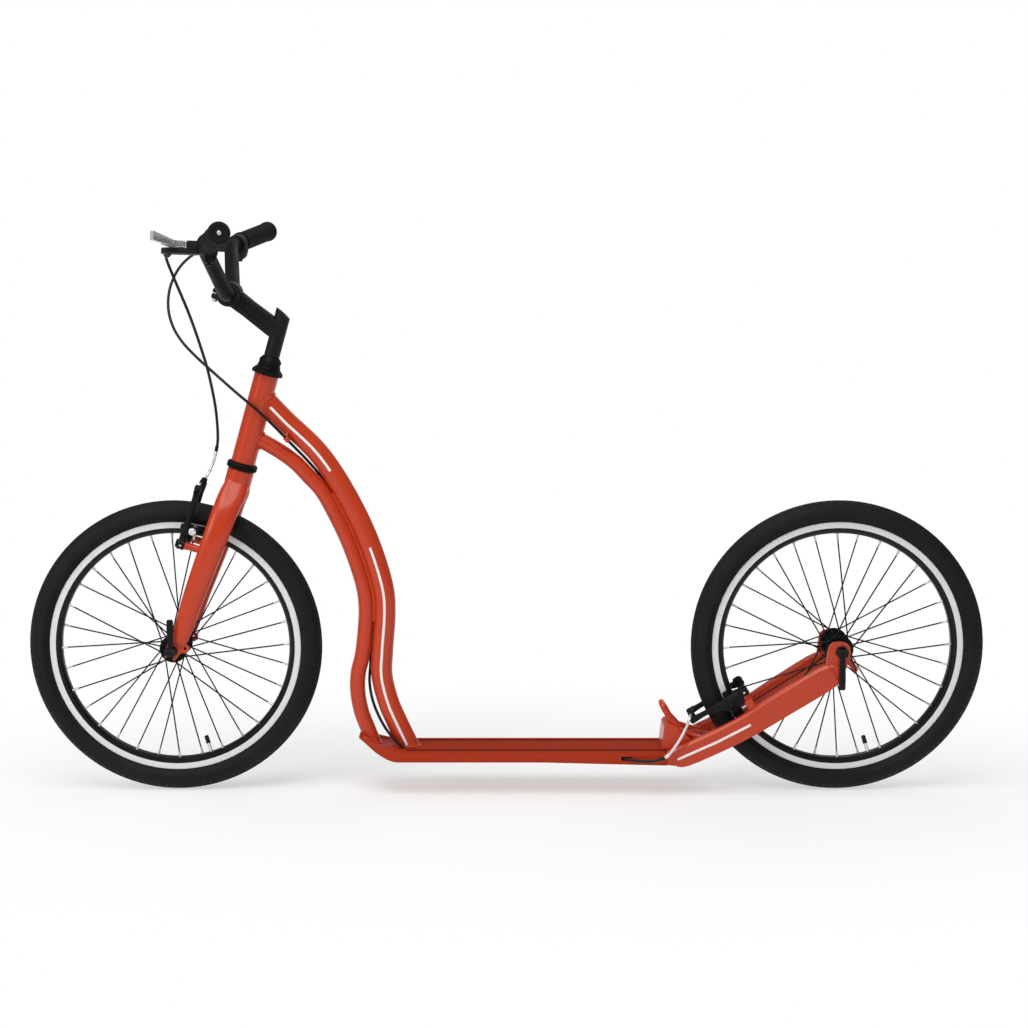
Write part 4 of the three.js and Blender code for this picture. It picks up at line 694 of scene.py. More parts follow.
def tread_block(name, angle, length, width, slant):
    """One block of the tread, at the top of the wheel."""
    deselect()
    bpy.ops.mesh.primitive_cube_add(size=1)
    obj = bpy.context.object
    obj.name = name
    side = 1 if angle > 0 else -1
    for vertex in obj.data.vertices:
        x, y, z = vertex.co
        narrow = TREAD_NARROWING if z > 0 else 1
        vertex.co = (x * length * narrow + y * slant * side, y * width * narrow, z * TREAD_HEIGHT)
    bevelled(obj, 0.35, 1)
    tilt = Matrix.Rotation(-math.radians(angle), 4, "X")
    radius, across = arc_point(TREAD_RADIUS, angle)
    obj.data.transform(Matrix.Translation((0, across, radius)) @ tilt)
    return obj


def ring_of(name, parts, count):
    """Copies of parts round the axle."""
    unit = joined(name, parts)
    deselect()
    bpy.ops.object.empty_add(rotation=(0, math.tau / count, 0))
    turn = bpy.context.object
    modified(
        unit, "ARRAY", count=count, use_relative_offset=False, use_object_offset=True, offset_object=turn,
    )
    bpy.data.objects.remove(turn)
    return unit


class KICKBIKE_OT_tyres(bpy.types.Operator):
    """Tyres with their tread, and inner tubes with their valves"""

    bl_idname = "kickbike.tyres"
    bl_label = "Tyres"

    def execute(self, context):
        carcass = turned("front_tyre_tread", tyre_outline(), "Y", 144)
        blocks = []
        for side in (-1, 1):
            for angle, length, width, slant in TREAD_ROWS:
                blocks.append(tread_block("tread_block", side * angle, length, width, slant))
        tread = ring_of("tread", blocks, sizes().tread_blocks)
        tyre = joined("front_tyre_tread", [carcass, tread])
        rear = copied(tyre, "rear_tyre_tread", Matrix.Identity(4))
        for end, obj in (("front", tyre), ("rear", rear)):
            matrix = axle_frames[end]
            finished(obj, end + "_wheel", matrix, "tyre_rubber", [end + "_tyre"], 40)
            self.inner_tube(end, matrix)
        return {"FINISHED"}

    def inner_tube(self, end, matrix):
        arc = [arc_point(INNER_TUBE_RADIUS, a) for a in (-88, -60, -30, 0, 30, 60, 88)]
        ring = coat(turned("ring", [(203.6, 4.5), (203.6, -4.5), *arc], "Y", 64), "pad_rubber")
        out = Vector((math.sin(VALVE_ANGLE), 0, math.cos(VALVE_ANGLE)))
        stem = turned_between(
            "stem", out * VALVE_FOOT, Vector(),
            [(0, 0), (3.9, 0), (3.9, 13), (3.2, 15), (3.0, 15.2), (3.0, 36), (0, 36)], 20, "polished",
        )
        cap = turned_between(
            "cap", out * VALVE_CAP_END, Vector(),
            [(0, 0), (4, 0), (4, 2), (3.7, 2.4), (3.7, 11.5), (3.1, 13), (0, 13)], 12, "black_plastic",
        )
        valve = joined(end + "_inner_tube_valve", [ring, stem, cap])
        finished(valve, end + "_wheel", matrix, None, [end + "_inner_tube"])


class KICKBIKE_OT_rims(bpy.types.Operator):
    """Black rims with their machined brake tracks"""

    bl_idname = "kickbike.rims"
    bl_label = "Rims"

    def execute(self, context):
        outline = symmetric([
            (RIM_APEX, 3.0), (RIM_APEX + 0.8, 7.0), (RIM_APEX + 3.6, 10.8), (RIM_APEX + 6.2, 11.7),
            (199.3, 11.9), (199.6, 11.5), (BRAKE_TRACK_START, 11.9), (209.2, RIM_HALF_WIDTH),
            (RIM_EDGE, 11.4), (RIM_EDGE, 10.5), (201.0, 10.4), (200.5, 9.6),
        ])
        metal = tuple(finishes().bare_metal)
        for end in WHEEL_ENDS:
            matrix = axle_frames[end]
            rim = turned(end + "_rim_ring", outline, "Y", 160)
            coat(rim, "rim_black", machined(end + "_brake_track", metal, matrix.translation))
            for face in rim.data.polygons:
                radius = math.hypot(face.center.x, face.center.z)
                if radius > BRAKE_TRACK_START and abs(face.center.y) > RIM_HALF_WIDTH - 0.5:
                    face.material_index = 1
            finished(rim, end + "_wheel", matrix, None, [end + "_rim"], 25)
        return {"FINISHED"}


class KICKBIKE_OT_spokes(bpy.types.Operator):
    """Spokes with their nipples and heads, one set on each side of a wheel"""

    bl_idname = "kickbike.spokes"
    bl_label = "Spokes"
    hole_radius = 19
    first_angle = -1
    cross_angle = 45
    nipple_sink = 1.5
    flange_half = 2.9

    def execute(self, context):
        for end, spacing in FLANGE_SPACINGS.items():
            for side, name in ((-1, "left"), (1, "right")):
                self.one_set(end, spacing, side, name)
        return {"FINISHED"}

    def one_set(self, end, spacing, side, name):
        count = sizes().spokes
        radius = sizes().spoke_diameter / 2
        seat = RIM_APEX + self.nipple_sink
        parts = []
        models = {}
        for k in range(0 if side < 0 else 1, count, 2):
            lean = 1 if k % 4 in (0, 3) else -1
            rim_angle = math.radians(self.first_angle + 360 / count * k)
            hub_angle = rim_angle + math.radians(lean * self.cross_angle)
            if lean not in models:
                flange = side * (spacing / 2 + lean * self.flange_half)
                hub = Vector(
                    (self.hole_radius * math.sin(hub_angle), flange, self.hole_radius * math.cos(hub_angle))
                )
                rim = Vector((seat * math.sin(rim_angle), side * 4, seat * math.cos(rim_angle)))
                models[lean] = (self.spoke(hub, rim, radius, side * lean), rim_angle)
                continue
            model, angle = models[lean]
            turn = Matrix.Rotation(rim_angle - angle, 4, "Y")
            parts.append(copied(model, "spoke", turn))
        parts.extend(model for model, _ in models.values())
        spokes = joined(end + "_" + name + "_spoke_set", parts)
        replaced = [end + "_" + name + "_spokes"]
        finished(spokes, end + "_wheel", axle_frames[end], None, replaced, 50)

    def spoke(self, hub, rim, radius, outward):
        wire = rounded_rod("wire", hub, rim, radius, 0.3, 8, "spoke")
        inward = (hub - rim).normalized()
        nipple = turned_between(
            "nipple", rim, hub,
            [(0, 0), (2.5, 0), (2.5, 3), (1.9, 3.6), (1.75, 10.5), (1.4, 11.4), (0, 11.4)], 8, "steel",
        )
        elbow_end = hub - inward * 0.5 - Vector((0, outward * 4.6, 0))
        route = smooth_route([hub - inward * 3, hub, elbow_end], 1.2)
        elbow = coat(tube("elbow", route, radius, 1), "spoke")
        head_end = elbow_end - Vector((0, outward * 1.2, 0))
        head = rounded_rod("head", elbow_end, head_end, 2.0, 0.5, 10, "spoke")
        return joined("spoke_model", [wire, nipple, elbow, head])


class KICKBIKE_OT_hubs(bpy.types.Operator):
    """Hub shells, axles, skewers and quick-release levers"""

    bl_idname = "kickbike.hubs"
    bl_label = "Hubs"
    dropout = 6.6
    bodies = {"front": "fork", "rear": "frame"}
    lever_lengths = {"front": 55, "rear": 62}
    lever_turns = {"front": 0, "rear": math.pi}
    lever_axis_gap = 10.8

    def execute(self, context):
        for end in WHEEL_ENDS:
            self.shell(end)
            self.axle(end)
            self.lever(end)
        return {"FINISHED"}

    def shell(self, end):
        flange, face = FLANGE_SPACINGS[end] / 2, HUB_WIDTHS[end] / 2
        outline = symmetric([
            (9.0, face - 4), (12.2, face - 4), (13.0, face - 4.8), (13.0, face - 9), (12.4, face - 9.6),
            (13.4, flange + 4), (15.5, flange + 1.6), (22.2, flange + 1.6), (23.0, flange + 0.9),
            (23.0, flange - 0.9), (22.2, flange - 1.6), (16.6, flange - 2.0), (14.2, flange - 5),
            (12.2, flange - 12), (11.6, flange - 20), (11.4, 3),
        ])
        shell = turned(end + "_hub_shell", outline, "Y", 64)
        finished(shell, end + "_wheel", axle_frames[end], "black_coat", [end + "_hub"])

    def axle(self, end):
        face = HUB_WIDTHS[end] / 2
        outline = symmetric([
            (2.8, face + 5.7), (4.9, face + 5.7), (4.9, face), (8.2, face), (8.6, face - 0.5),
            (8.6, face - 5), (7.2, face - 5.4), (7.2, face - 6.6), (8.4, face - 7), (8.4, face - 14),
            (4.9, face - 14),
        ])
        axle = turned(end + "_axle_set", outline, "Y", 24)
        finished(axle, self.bodies[end], axle_frames[end], "steel", [end + "_axle"])
        outside = face + self.dropout
        housing = [
            (0, -outside - 4), (8.6, -outside - 4), (10, -outside - 3), (10, -outside - 0.4),
            (9.6, -outside), (2.4, -outside), (2.4, outside), (8.6, outside), (9, outside + 0.6),
            (9, outside + 4), (7.4, outside + 5), (7.4, outside + 9.6), (6.4, outside + 11),
            (0, outside + 11),
        ]
        skewer = turned(end + "_skewer_rod", housing, "Y", 32)
        finished(skewer, self.bodies[end], axle_frames[end], "black_coat", [end + "_skewer"])

    def lever(self, end):
        length = self.lever_lengths[end]
        centre_y = -(HUB_WIDTHS[end] / 2 + self.dropout + self.lever_axis_gap)
        barrel = turned(
            "barrel",
            [(0, -9), (5.4, -9), (6.5, -8), (6.5, -3.4), (6.1, -3), (6.1, 3), (6.5, 3.4), (6.5, 8),
             (5.4, 9), (0, 9)],
            "X", 32,
        )
        stations = (
            (2, 4.9, 2.4, 0.0), (10, 4.4, 2.1, -0.4), (length * 0.35, 5.0, 1.9, -0.5),
            (length * 0.7, 5.8, 1.8, 0.1), (length - 3, 5.6, 1.6, 0.6), (length, 4.4, 1.0, 0.7),
        )
        rings = []
        for z, half_width, half_depth, offset in stations:
            centre = Vector((0, offset, z))
            rings.append(rounded_section(centre, X, half_width, Y, half_depth, 0.6, 16))
        blade = loft("blade", rings)
        dent = plate(
            "dent", [(-2.6, length * 0.42), (2.6, length * 0.42), (3.1, length - 8), (-3.1, length - 8)],
            -5, -1.35, 0.3,
        )
        cut(blade, dent)
        lever = joined(end + "_quick_lever_blade", [barrel, blade])
        lever.data.transform(
            Matrix.Translation((0, centre_y, 0)) @ Matrix.Rotation(self.lever_turns[end], 4, "Y")
        )
        finished(
            lever, end + "_quick_lever_body", axle_frames[end], "cast_black",
            [end + "_quick_lever"],
        )


# Head tube and headset, in the steering frame
HEAD_RADIUS = 20.2


class KICKBIKE_OT_headset(bpy.types.Operator):
    """Head tube, headset cups, races and locknut"""

    bl_idname = "kickbike.headset"
    bl_label = "Headset"

    def execute(self, context):
        self.piece(
            "head_tube_shell", "frame", "head_tube", "frame_paint", "red_paint",
            [(17, 0), (19.4, 0), (HEAD_RADIUS, 0.8), (HEAD_RADIUS, 4), (20.0, 5), (20.0, 146),
             (HEAD_RADIUS, 148), (HEAD_RADIUS, 151.2), (19.4, 152), (17, 152)],
        )
        self.piece(
            "lower_cup_ring", "frame", "lower_headset_cup", "black_metal", "black_coat",
            [(14, -6.5), (24.6, -6.5), (25.5, -5.6), (25.5, -3.2), (24.9, -1.6), (22.8, -0.3), (16.4, -0.3),
             (16.4, 10), (14, 10)],
        )
        self.piece(
            "crown_race_ring", "fork", "crown_race", "black_metal", "black_coat",
            [(13, -11.3), (23.9, -11.3), (25.1, -10.4), (25.5, -9.2), (25.5, -7.6), (24.7, -6.8), (13, -6.8)],
        )
        self.piece(
            "upper_cup_ring", "frame", "upper_headset_cup", "black_metal", "black_coat",
            [(14, 142), (16.4, 142), (16.4, 152.3), (21.6, 152.3), (22, 152.8), (22, 155.4), (21.5, 156),
             (14, 156)],
        )
        self.piece(
            "top_race_ring", "fork", "headset_top_race", "black_metal", "black_coat",
            [(22.6, 152.6), (25.3, 152.6), (26, 153.4), (26, 156.8), (25.2, 157.6), (24.6, 158),
             (24.4, 159.4), (22.4, 160.2), (22.2, 161.8), (20.4, 162.6), (19.4, 164.4), (19, 166.1),
             (13, 166.1), (13, 156.3), (22.6, 156.3)],
        )
        self.locknut()
        return {"FINISHED"}

    def piece(self, name, body, node_name, slot, finish, outline):
        ring = turned(name, outline, "Z", 64)
        finished(ring, body, steering_frame, finish, [node_name])

    def locknut(self):
        nut = turned(
            "locknut_ring",
            [(13, 166.4), (18.2, 166.4), (19, 167.2), (19, 175.4), (18, 176.4), (15, 180.8), (13.4, 182.4),
             (11.4, 182.4), (11.4, 176.5), (13, 176.5)],
            "Z", 48,
        )
        for i in range(6):
            flat = plate("flat", rectangle(17.4, -30, 30, 30), 168.4, 174.4, 0.1, "XY")
            flat.data.transform(Matrix.Rotation(math.radians(60 * i), 4, "Z"))
            cut(nut, flat)
        finished(nut, "fork", steering_frame, "black_coat", ["headset_locknut"])


# Fork, in the steering frame
FORK_RAKE = 28.5
FORK_DROP = 328.4
LEG_TOP_Y = 9
LEG_SPREAD = 44
LEG_HALF_DEPTH = 22.3
LEG_HALF_WIDTH = 14
# Stations of a leg, in shares: drop, rake, spread, depth and width
LEG_STATIONS = (
    (0.085, 0, 0, 0.78, 0.6), (0.15, 0.02, 0.28, 1, 1), (0.222, 0.12, 0.6, 0.97, 1),
    (0.31, 0.2, 0.82, 0.95, 0.96), (0.4, 0.28, 0.92, 0.92, 0.92), (0.56, 0.45, 0.96, 0.86, 0.85),
    (0.72, 0.6, 0.98, 0.78, 0.76), (0.86, 0.672, 0.995, 0.69, 0.68), (0.93, 0.7, 1, 0.6, 0.64),
    (0.955, 0.71, 1, 0.44, 0.5),
)
FORK_DROPOUT = (
    (-5.2, -13.5), (-7.2, -13.2), (-8.6, -11), (-9.4, -2), (-10, 12), (-9, 39), (13, 39), (14, 27),
    (17, 19.4), (22.6, 17.6), (27, 13.6), (27.2, 7.2), (23, 3.4), (17, 1.6), (13.4, -3.4),
    (11.6, -9.6), (9.4, -12.9), (5.2, -13.5), (5.2, 1), (3.6, 3.9), (0, 5.2), (-3.6, 3.9), (-5.2, 1),
)
FORK_EYELET = (20.4, 10.6)
DROPOUT_THICKNESS = 6
DROPOUT_CLEARANCE = 0.3
BOSS_LENGTHS = {"front": 34, "rear": 35}
BOSS_FOOT = 6.3
AXLE_HOLE_RADIUS = 5.2


def rounded_section(centre, first, half_first, second, half_second, squareness, count=24):
    """A rounded ring between an ellipse and a box, spread along two directions."""
    ring = []
    for i in range(count):
        angle = math.tau * i / count
        c, s = math.cos(angle), math.sin(angle)
        ring.append(
            centre
            + first * (half_first * math.copysign(abs(c) ** squareness, c))
            + second * (half_second * math.copysign(abs(s) ** squareness, s))
        )
    return ring


def between_stations(stations, count):
    """Stations on smooth curves through the given ones."""
    columns = []
    for column in zip(*stations):
        route = []
        for i in range(len(column) - 1):
            p0, p1 = column[max(i - 1, 0)], column[i]
            p2, p3 = column[i + 1], column[min(i + 2, len(column) - 1)]
            for k in range(count):
                t = k / count
                route.append(
                    0.5 * (2 * p1 + (p2 - p0) * t + (2 * p0 - 5 * p1 + 4 * p2 - p3) * t * t
                           + (3 * p1 - p0 - 3 * p2 + p3) * t ** 3)
                )
        columns.append([*route, column[-1]])
    return list(zip(*columns))


def brake_boss(end, side, name="boss"):
    """Painted stud that a brake arm turns on, modelled in the brake's frame."""
    y, length = side * PIVOT_Y, BOSS_LENGTHS[end]
    shoulder = turned_between(
        name, Vector((BOSS_FOOT, y, 0)), Vector((BOSS_FOOT + length, y, 0)),
        [(0, 0), (6.4, 0), (7, 0.6), (7, 5), (6.2, 6), (6.2, length), (0, length)], 32, "red_paint",
    )
    pin = turned_between(
        name + "_pin", Vector((12, y, 0)), Vector((-9, y, 0)),
        [(0, 0), (4.6, 0), (4.6, 18.3), (6.4, 18.3), (7, 18.8), (7, 20.4), (6.3, 20.9), (3.2, 20.9),
         (2.6, 19.4), (0, 19.4)],
        24, "black_coat",
    )
    local = brake_frames[end]
    for part in (shoulder, pin):
        part.data.transform(local)
    return joined(name, [shoulder, pin])


def dropout_plate(name, outline, side, hub_width, bevel=0.8):
    """Flat plate beside the hub that takes its axle."""
    inner = hub_width / 2 + DROPOUT_CLEARANCE
    low, high = sorted((side * inner, side * (inner + DROPOUT_THICKNESS)))
    return coat(plate(name, outline, low, high, bevel), "red_paint")


class KICKBIKE_OT_fork(bpy.types.Operator):
    """Fork crown with its steerer, and two legs with their dropouts and brake studs"""

    bl_idname = "kickbike.fork"
    bl_label = "Fork"

    def execute(self, context):
        crown = turned(
            "fork_crown",
            [(11.4, -45.6), (18.6, -45.6), (20.4, -44), (21.6, -39), (22, -36), (22, -14), (21.4, -12.4),
             (20.4, -11.6), (12.7, -11.6), (12.7, 176.2), (11.4, 176.2)],
            "Z", 64,
        )
        finished(crown, "fork", steering_frame, "red_paint", ["fork_steerer"])
        stations = between_stations(LEG_STATIONS, 4)
        rings = []
        for drop, rake, spread, depth, width in stations:
            centre = Vector((-FORK_RAKE * rake, -(LEG_TOP_Y + LEG_SPREAD * spread), -FORK_DROP * drop))
            half_depth, half_width = LEG_HALF_DEPTH * depth, LEG_HALF_WIDTH * width
            rings.append(rounded_section(centre, X, half_depth, Y, half_width, 0.8, 32))
        leg = coat(loft("leg", rings), "red_paint")
        x, z = -FORK_RAKE, -FORK_DROP
        outline = [(x + a, z + b) for a, b in FORK_DROPOUT]
        dropout = dropout_plate("dropout", outline, -1, HUB_WIDTHS["front"])
        eyelet = Vector((x + FORK_EYELET[0], 0, z + FORK_EYELET[1]))
        drilled(dropout, eyelet - Y * 40, eyelet - Y * 70, 2.6, 20)
        for part in (leg, dropout):
            part.data.transform(steering_frame)
        boss = brake_boss("front", -1)
        left = joined("left_fork_blade", [leg, dropout, boss])
        finished(left, "fork", Matrix.Identity(4), None, ["left_fork_leg"])
        mirror_finished(left, "right_fork_blade", "fork", ["right_fork_leg"])
        return {"FINISHED"}


# Stem, in the steering frame
class KICKBIKE_OT_stem(bpy.types.Operator):
    """Quill stem with its clamp and bolts"""

    bl_idname = "kickbike.stem"
    bl_label = "Stem"
    arm_root = Vector((0, 0, 225.5))
    post_top = 257.0
    top_slant = math.radians(27)
    bolt_place = Vector((-114, 0, 258.4))
    clamp_bore = 12.5
    arm_half_width = 13.5
    arm_stations = (
        (0.0, 16, 12.4), (0.12, 16, 13.3), (0.3, 15.8, arm_half_width), (0.6, 15.2, arm_half_width),
        (0.85, 16, arm_half_width), (1.0, 16, 13.2),
    )
    recess_outline = (
        (0.26, -5.4), (0.26, 5.4), (0.33, 6.8), (0.66, 6.8), (0.72, 5), (0.72, -5), (0.66, -6.8),
        (0.33, -6.8),
    )
    recess_floor = 10.6

    def execute(self, context):
        post = turned(
            "post",
            [(4.3, 90), (11, 90), (11, 182.6), (12.2, 182.7), (13, 184), (13, 274), (6.6, 274), (6.6, 226.6),
             (4.3, 226.6)],
            "Z", 48,
        )
        slant = Matrix.Translation((0, 0, self.post_top)) @ Matrix.Rotation(self.top_slant, 4, "Y")
        above = plate("above", rectangle(-40, -40, 40, 40), 0, 60, 0.1, "XY")
        above.data.transform(slant)
        cut(post, above)
        bevelled(post, 0.8, 2, 40)
        stem = [post, self.arm(), self.clamp()]
        whole = coat(joined("quill_stem_body", stem), "cast_black")
        finished(whole, "fork", steering_frame, None, ["quill_stem"])
        self.bolts()
        return {"FINISHED"}

    def arm(self):
        """Forged arm, from the post to the clamp, with a long recess on each side."""
        along = bar_clamp - self.arm_root
        run = along.length
        direction = along.normalized()
        upward = direction.cross(Y)
        if upward.z < 0:
            upward = -upward
        rings = []
        for share, half_height, half_width in self.arm_stations:
            centre = self.arm_root + along * share
            rings.append(rounded_section(centre, upward, half_height, Y, half_width, 0.42, 32))
        arm = loft("arm", rings)
        core = rounded_rod("core", Vector((0, 0, 190)), Vector((0, 0, 290)), 6.6)
        cut(arm, core)
        outline = [(run * share, rise) for share, rise in self.recess_outline]
        basis = Matrix((direction, Y, upward)).transposed().to_4x4()
        basis.translation = self.arm_root
        for side in (-1, 1):
            low, high = sorted((side * self.recess_floor, side * 20))
            recess = plate("recess", outline, low, high, 0.6)
            recess.data.transform(basis)
            cleaned(recess)
            cut(arm, recess)
        return arm

    def clamp(self):
        """Split ring round the bar, with the ear that its bolt draws together."""
        bore, half = self.clamp_bore, self.arm_half_width
        ring = turned("ring", collar(bore, 20.5, -20, 20, 0.9), "Y", 64)
        ring.data.transform(Matrix.Translation(bar_clamp))
        x, z = self.bolt_place.x, self.bolt_place.z
        outline = [(x - 6, z - 7), (x - 4, z - 9), (x + 14, z - 9), (x + 14, z + 9), (x - 4, z + 9),
                   (x - 6, z + 7)]
        ear = plate("ear", outline, -half, half, 1.2)
        drilled(ear, bar_clamp - Y * 40, bar_clamp + Y * 40, bore, 48)
        for part in (ring, ear):
            cut(part, plate("slot", rectangle(x - 12, z - 1.25, x + 21, z + 1.25), -30, 30, 0.1))
        return joined("clamp", [ring, ear])

    def bolts(self):
        """The clamp's screw and the expander bolt, both with a socket in the head."""
        place = self.bolt_place
        bolt = turned_between(
            "bar_clamp_screw", place - Z * 14.3, place + Z * 9,
            [(0, 2.6), (2.1, 2.6), (2.1, 0), (3.6, 0), (4, 0.5), (4, 4.6), (3.6, 5), (3, 5), (3, 23),
             (0, 23)],
        )
        finished(bolt, "fork", steering_frame, "steel", ["bar_clamp_bolt"])
        top = self.post_top - 22
        expander = turned(
            "expander_screw",
            [(0, 65), (4, 65), (4, top - 8), (6.2, top - 8), (6.2, top - 0.6), (5.6, top), (3, top),
             (3, top - 5), (0, top - 5)],
            "Z", 32,
        )
        finished(expander, "fork", steering_frame, "steel", ["stem_expander_bolt"])


# Handlebar and grips
class KICKBIKE_OT_handlebar(bpy.types.Operator):
    """Riser handlebar and rubber grips"""

    bl_idname = "kickbike.handlebar"
    bl_label = "Handlebar"
    grip_length = 130.0
    grip_from_lever = 11.8
    bar_radius = 11.1
    bend_radius = 55
    middle_swell = 1.12
    swell_end, swell_taper = 190, 50

    def execute(self, context):
        corners = [mirrored_point(bar_end), mirrored_point(bar_bend), mirrored_point(bar_rise_start),
                   bar_rise_start, bar_bend, bar_end]
        route = bent_route(corners, self.bend_radius)
        shares = [min(1, max(0, (self.swell_end - abs(p.y)) / self.swell_taper)) for p in route]
        radii = [1 + (self.middle_swell - 1) * share for share in shares]
        bar = tube("handlebar_tube", route, self.bar_radius, 10, radii)
        finished(bar, "fork", steering_frame, "black_coat", ["handlebar"])
        start = self.grip_from_lever
        end = start + self.grip_length
        grip = self.grip(start, end)
        disc = [(0, end + 2.4), (2.6, end + 2.4), (3.2, end + 3), (2.4, end + 3.4), (0, end + 3.4)]
        plug = coat(turned("plug", disc, "X", 24), "bare_metal")
        whole = joined("left_grip_sleeve", [grip, plug])
        finished(whole, "fork", controls_frame, None, ["left_grip"], 40)
        mirror_finished(whole, "right_grip_sleeve", "fork", ["right_grip"])
        return {"FINISHED"}

    def grip(self, start, end):
        """Ribbed rubber sleeve with a collar at each end."""
        outline = [(11.5, start), (16.6, start), (17.5, start + 0.8), (17.5, start + 3.2), (16.8, start + 4)]
        ribs = 15
        pitch = (end - start - 14) / ribs
        for i in range(ribs):
            a = start + 6 + pitch * i
            rib = ((15.6, 0), (16.4, 0.22), (16.4, 0.62), (15.6, 0.84))
            outline += [(radius, a + pitch * share) for radius, share in rib]
        outline += [
            (15.8, end - 7), (16.9, end - 5.6), (17.5, end - 4.4), (17.5, end + 0.6), (16.9, end + 2.2),
            (15.4, end + 3), (11, end + 3), (10.4, end + 2.2), (6.2, end + 2.2), (5.6, end + 3),
            (4.6, end + 2.6), (0, end + 2.6), (0, end + 0.3), (11.5, end + 0.3),
        ]
        return coat(turned("grip", outline, "X", 48), "grip_rubber")


# Brake levers, in the frame of the left controls
# Edge of the blade, in shares of its span and reach
BLADE_EDGE = ((0.17, 0.22), (0.28, 0.32), (0.45, 0.47), (0.62, 0.62), (0.8, 0.78), (0.95, 0.91))


class KICKBIKE_OT_levers(bpy.types.Operator):
    """Brake lever brackets with their cable adjusters, and lever blades"""

    bl_idname = "kickbike.levers"
    bl_label = "Brake levers"
    clamp_width = 14.0
    clamp_bore = 11.4
    blade_half = 5.5
    blade_root, blade_reach, blade_span = 9.0, 54.0, 91.0

    def execute(self, context):
        bracket = self.bracket()
        finished(bracket, "fork", controls_frame, None, ["left_lever_bracket"])
        mirror_finished(bracket, "right_lever_perch", "fork", ["right_lever_bracket"])
        blade = self.blade()
        finished(blade, "left_lever_body", controls_frame, None, ["left_brake_lever"])
        mirror_finished(blade, "right_lever_blade", "right_lever_body", ["right_brake_lever"])
        return {"FINISHED"}

    def bracket(self):
        """Clamp ring, the two plates that hold the blade, its pivot, and the cable's adjuster."""
        half = self.clamp_width / 2
        slot = self.blade_half + 0.3
        bore = self.clamp_bore
        ring = turned("ring", collar(bore, 15.9, -half, half, 0.7), "X", 48)
        bridge = plate(
            "bridge", [(-10, -30), (-8, -31), (9, -31), (10, -30), (10, -4), (-10, -4)], -9, slot, 1.2, "XY"
        )
        drilled(bridge, X * -20, X * 20, bore, 48)
        floor = plate(
            "floor",
            [(-10, -60), (-7.5, -67), (-4, -70), (4, -70), (8, -66), (10, -58), (10, -11.4), (-10, -11.4)],
            -slot - 9, -slot, 1.5, "XY",
        )
        pin = rounded_rod("pin", lever_pivot - Z * (slot + 2), lever_pivot + Z * slot, 3.0, 0.4, 24, "steel")
        barrel = self.adjuster()
        screw = rounded_rod("screw", Vector((0, 3, -17.6)), Vector((0, 3, -14)), 2.6, 0.5, 16, "steel")
        outline = [(-4, -28), (10, -27), (14, -22), (17, -12), (16, 2), (8, 8), (-4, 8)]
        lug = plate("lug", outline, -half, half, 1.2, "YZ")
        drilled(lug, X * -20, X * 20, bore, 48)
        clamp_screw = rounded_rod(
            "clamp_screw", Vector((0, 4, -31)), Vector((0, 4, -26)), 3.6, 0.6, 16, "black_coat"
        )
        for part in (ring, bridge, floor, lug):
            coat(part, "black_plastic")
        return joined("left_lever_perch", [ring, bridge, floor, lug, pin, barrel, screw, clamp_screw])

    def adjuster(self):
        """Cable adjuster: a fluted barrel with a lock ring, on the bracket's inner side."""
        place = Vector((-36, -58, -12))
        outline = [(0, 0), (3.4, 0), (4.4, 0.8), (4.4, 6), (5.6, 7), (5.6, 15), (4.6, 16), (4.6, 18),
                   (5.9, 18.6), (5.9, 22), (4.8, 23), (4.8, 36), (0, 36)]
        barrel = turned_between("adjuster", place, place + X, outline, 32)
        for i in range(10):
            angle = math.tau * i / 10
            offset = Vector((0, math.cos(angle), math.sin(angle))) * 6.3
            groove = rounded_rod("groove", place + offset + X * 6, place + offset + X * 16.5, 1.1, 0.1, 8)
            cut(barrel, groove)
        return coat(barrel, "black_plastic")

    def blade(self):
        """Lever blade: forged, with a rounded finger side and a bright top."""
        w, reach, span = self.blade_root, self.blade_reach, self.blade_span
        px, py = lever_pivot.x, lever_pivot.y
        shares = (
            (-0.7 * w, 0.6 * w), (0.0, 0.78 * w), (0.7 * w, 0.6 * w), (1.1 * w, -reach * 0.12),
            *[(span * along, -reach * share) for along, share in BLADE_EDGE],
            (span * 0.995, -reach * 0.95), (span, -reach * 1.0), (span * 0.955, -reach * 1.04),
            (span * 0.9, -reach * 1.035), (span * 0.72, -reach * 0.93), (span * 0.55, -reach * 0.79),
            (span * 0.37, -reach * 0.64), (span * 0.2, -reach * 0.51), (span * 0.08, -reach * 0.44),
            (-0.2 * w, -reach * 0.36), (-0.6 * w, -reach * 0.24), (-0.8 * w, -reach * 0.1),
        )
        outline = [(px + x, py + y) for x, y in shares]
        blade = plate("left_lever_blade", outline, -self.blade_half, self.blade_half, 2.0, "XY")
        drilled(blade, lever_pivot - Z * 20, lever_pivot + Z * 20, 3.6)
        edge = [(px + span * along, py - reach * share) for along, share in BLADE_EDGE]
        strip = [*[(x, y + 4) for x, y in edge], *[(x, y - 1.8) for x, y in reversed(edge)]]
        cut(blade, plate("groove", strip, -1.5, 1.5, 0.2, "XY"))
        for vertex in blade.data.vertices:
            along = min(1, max(0, (vertex.co.x - px) / span - 0.1))
            vertex.co.z *= 0.9 + 0.6 * along
        return coat(blade, "polished")


# Brakes, in each brake's own frame
ARM_LENGTH = 101.0
PIVOT_Y = 40.0
TIP_Y = 32.0
PAD_OFFSET = 13.0
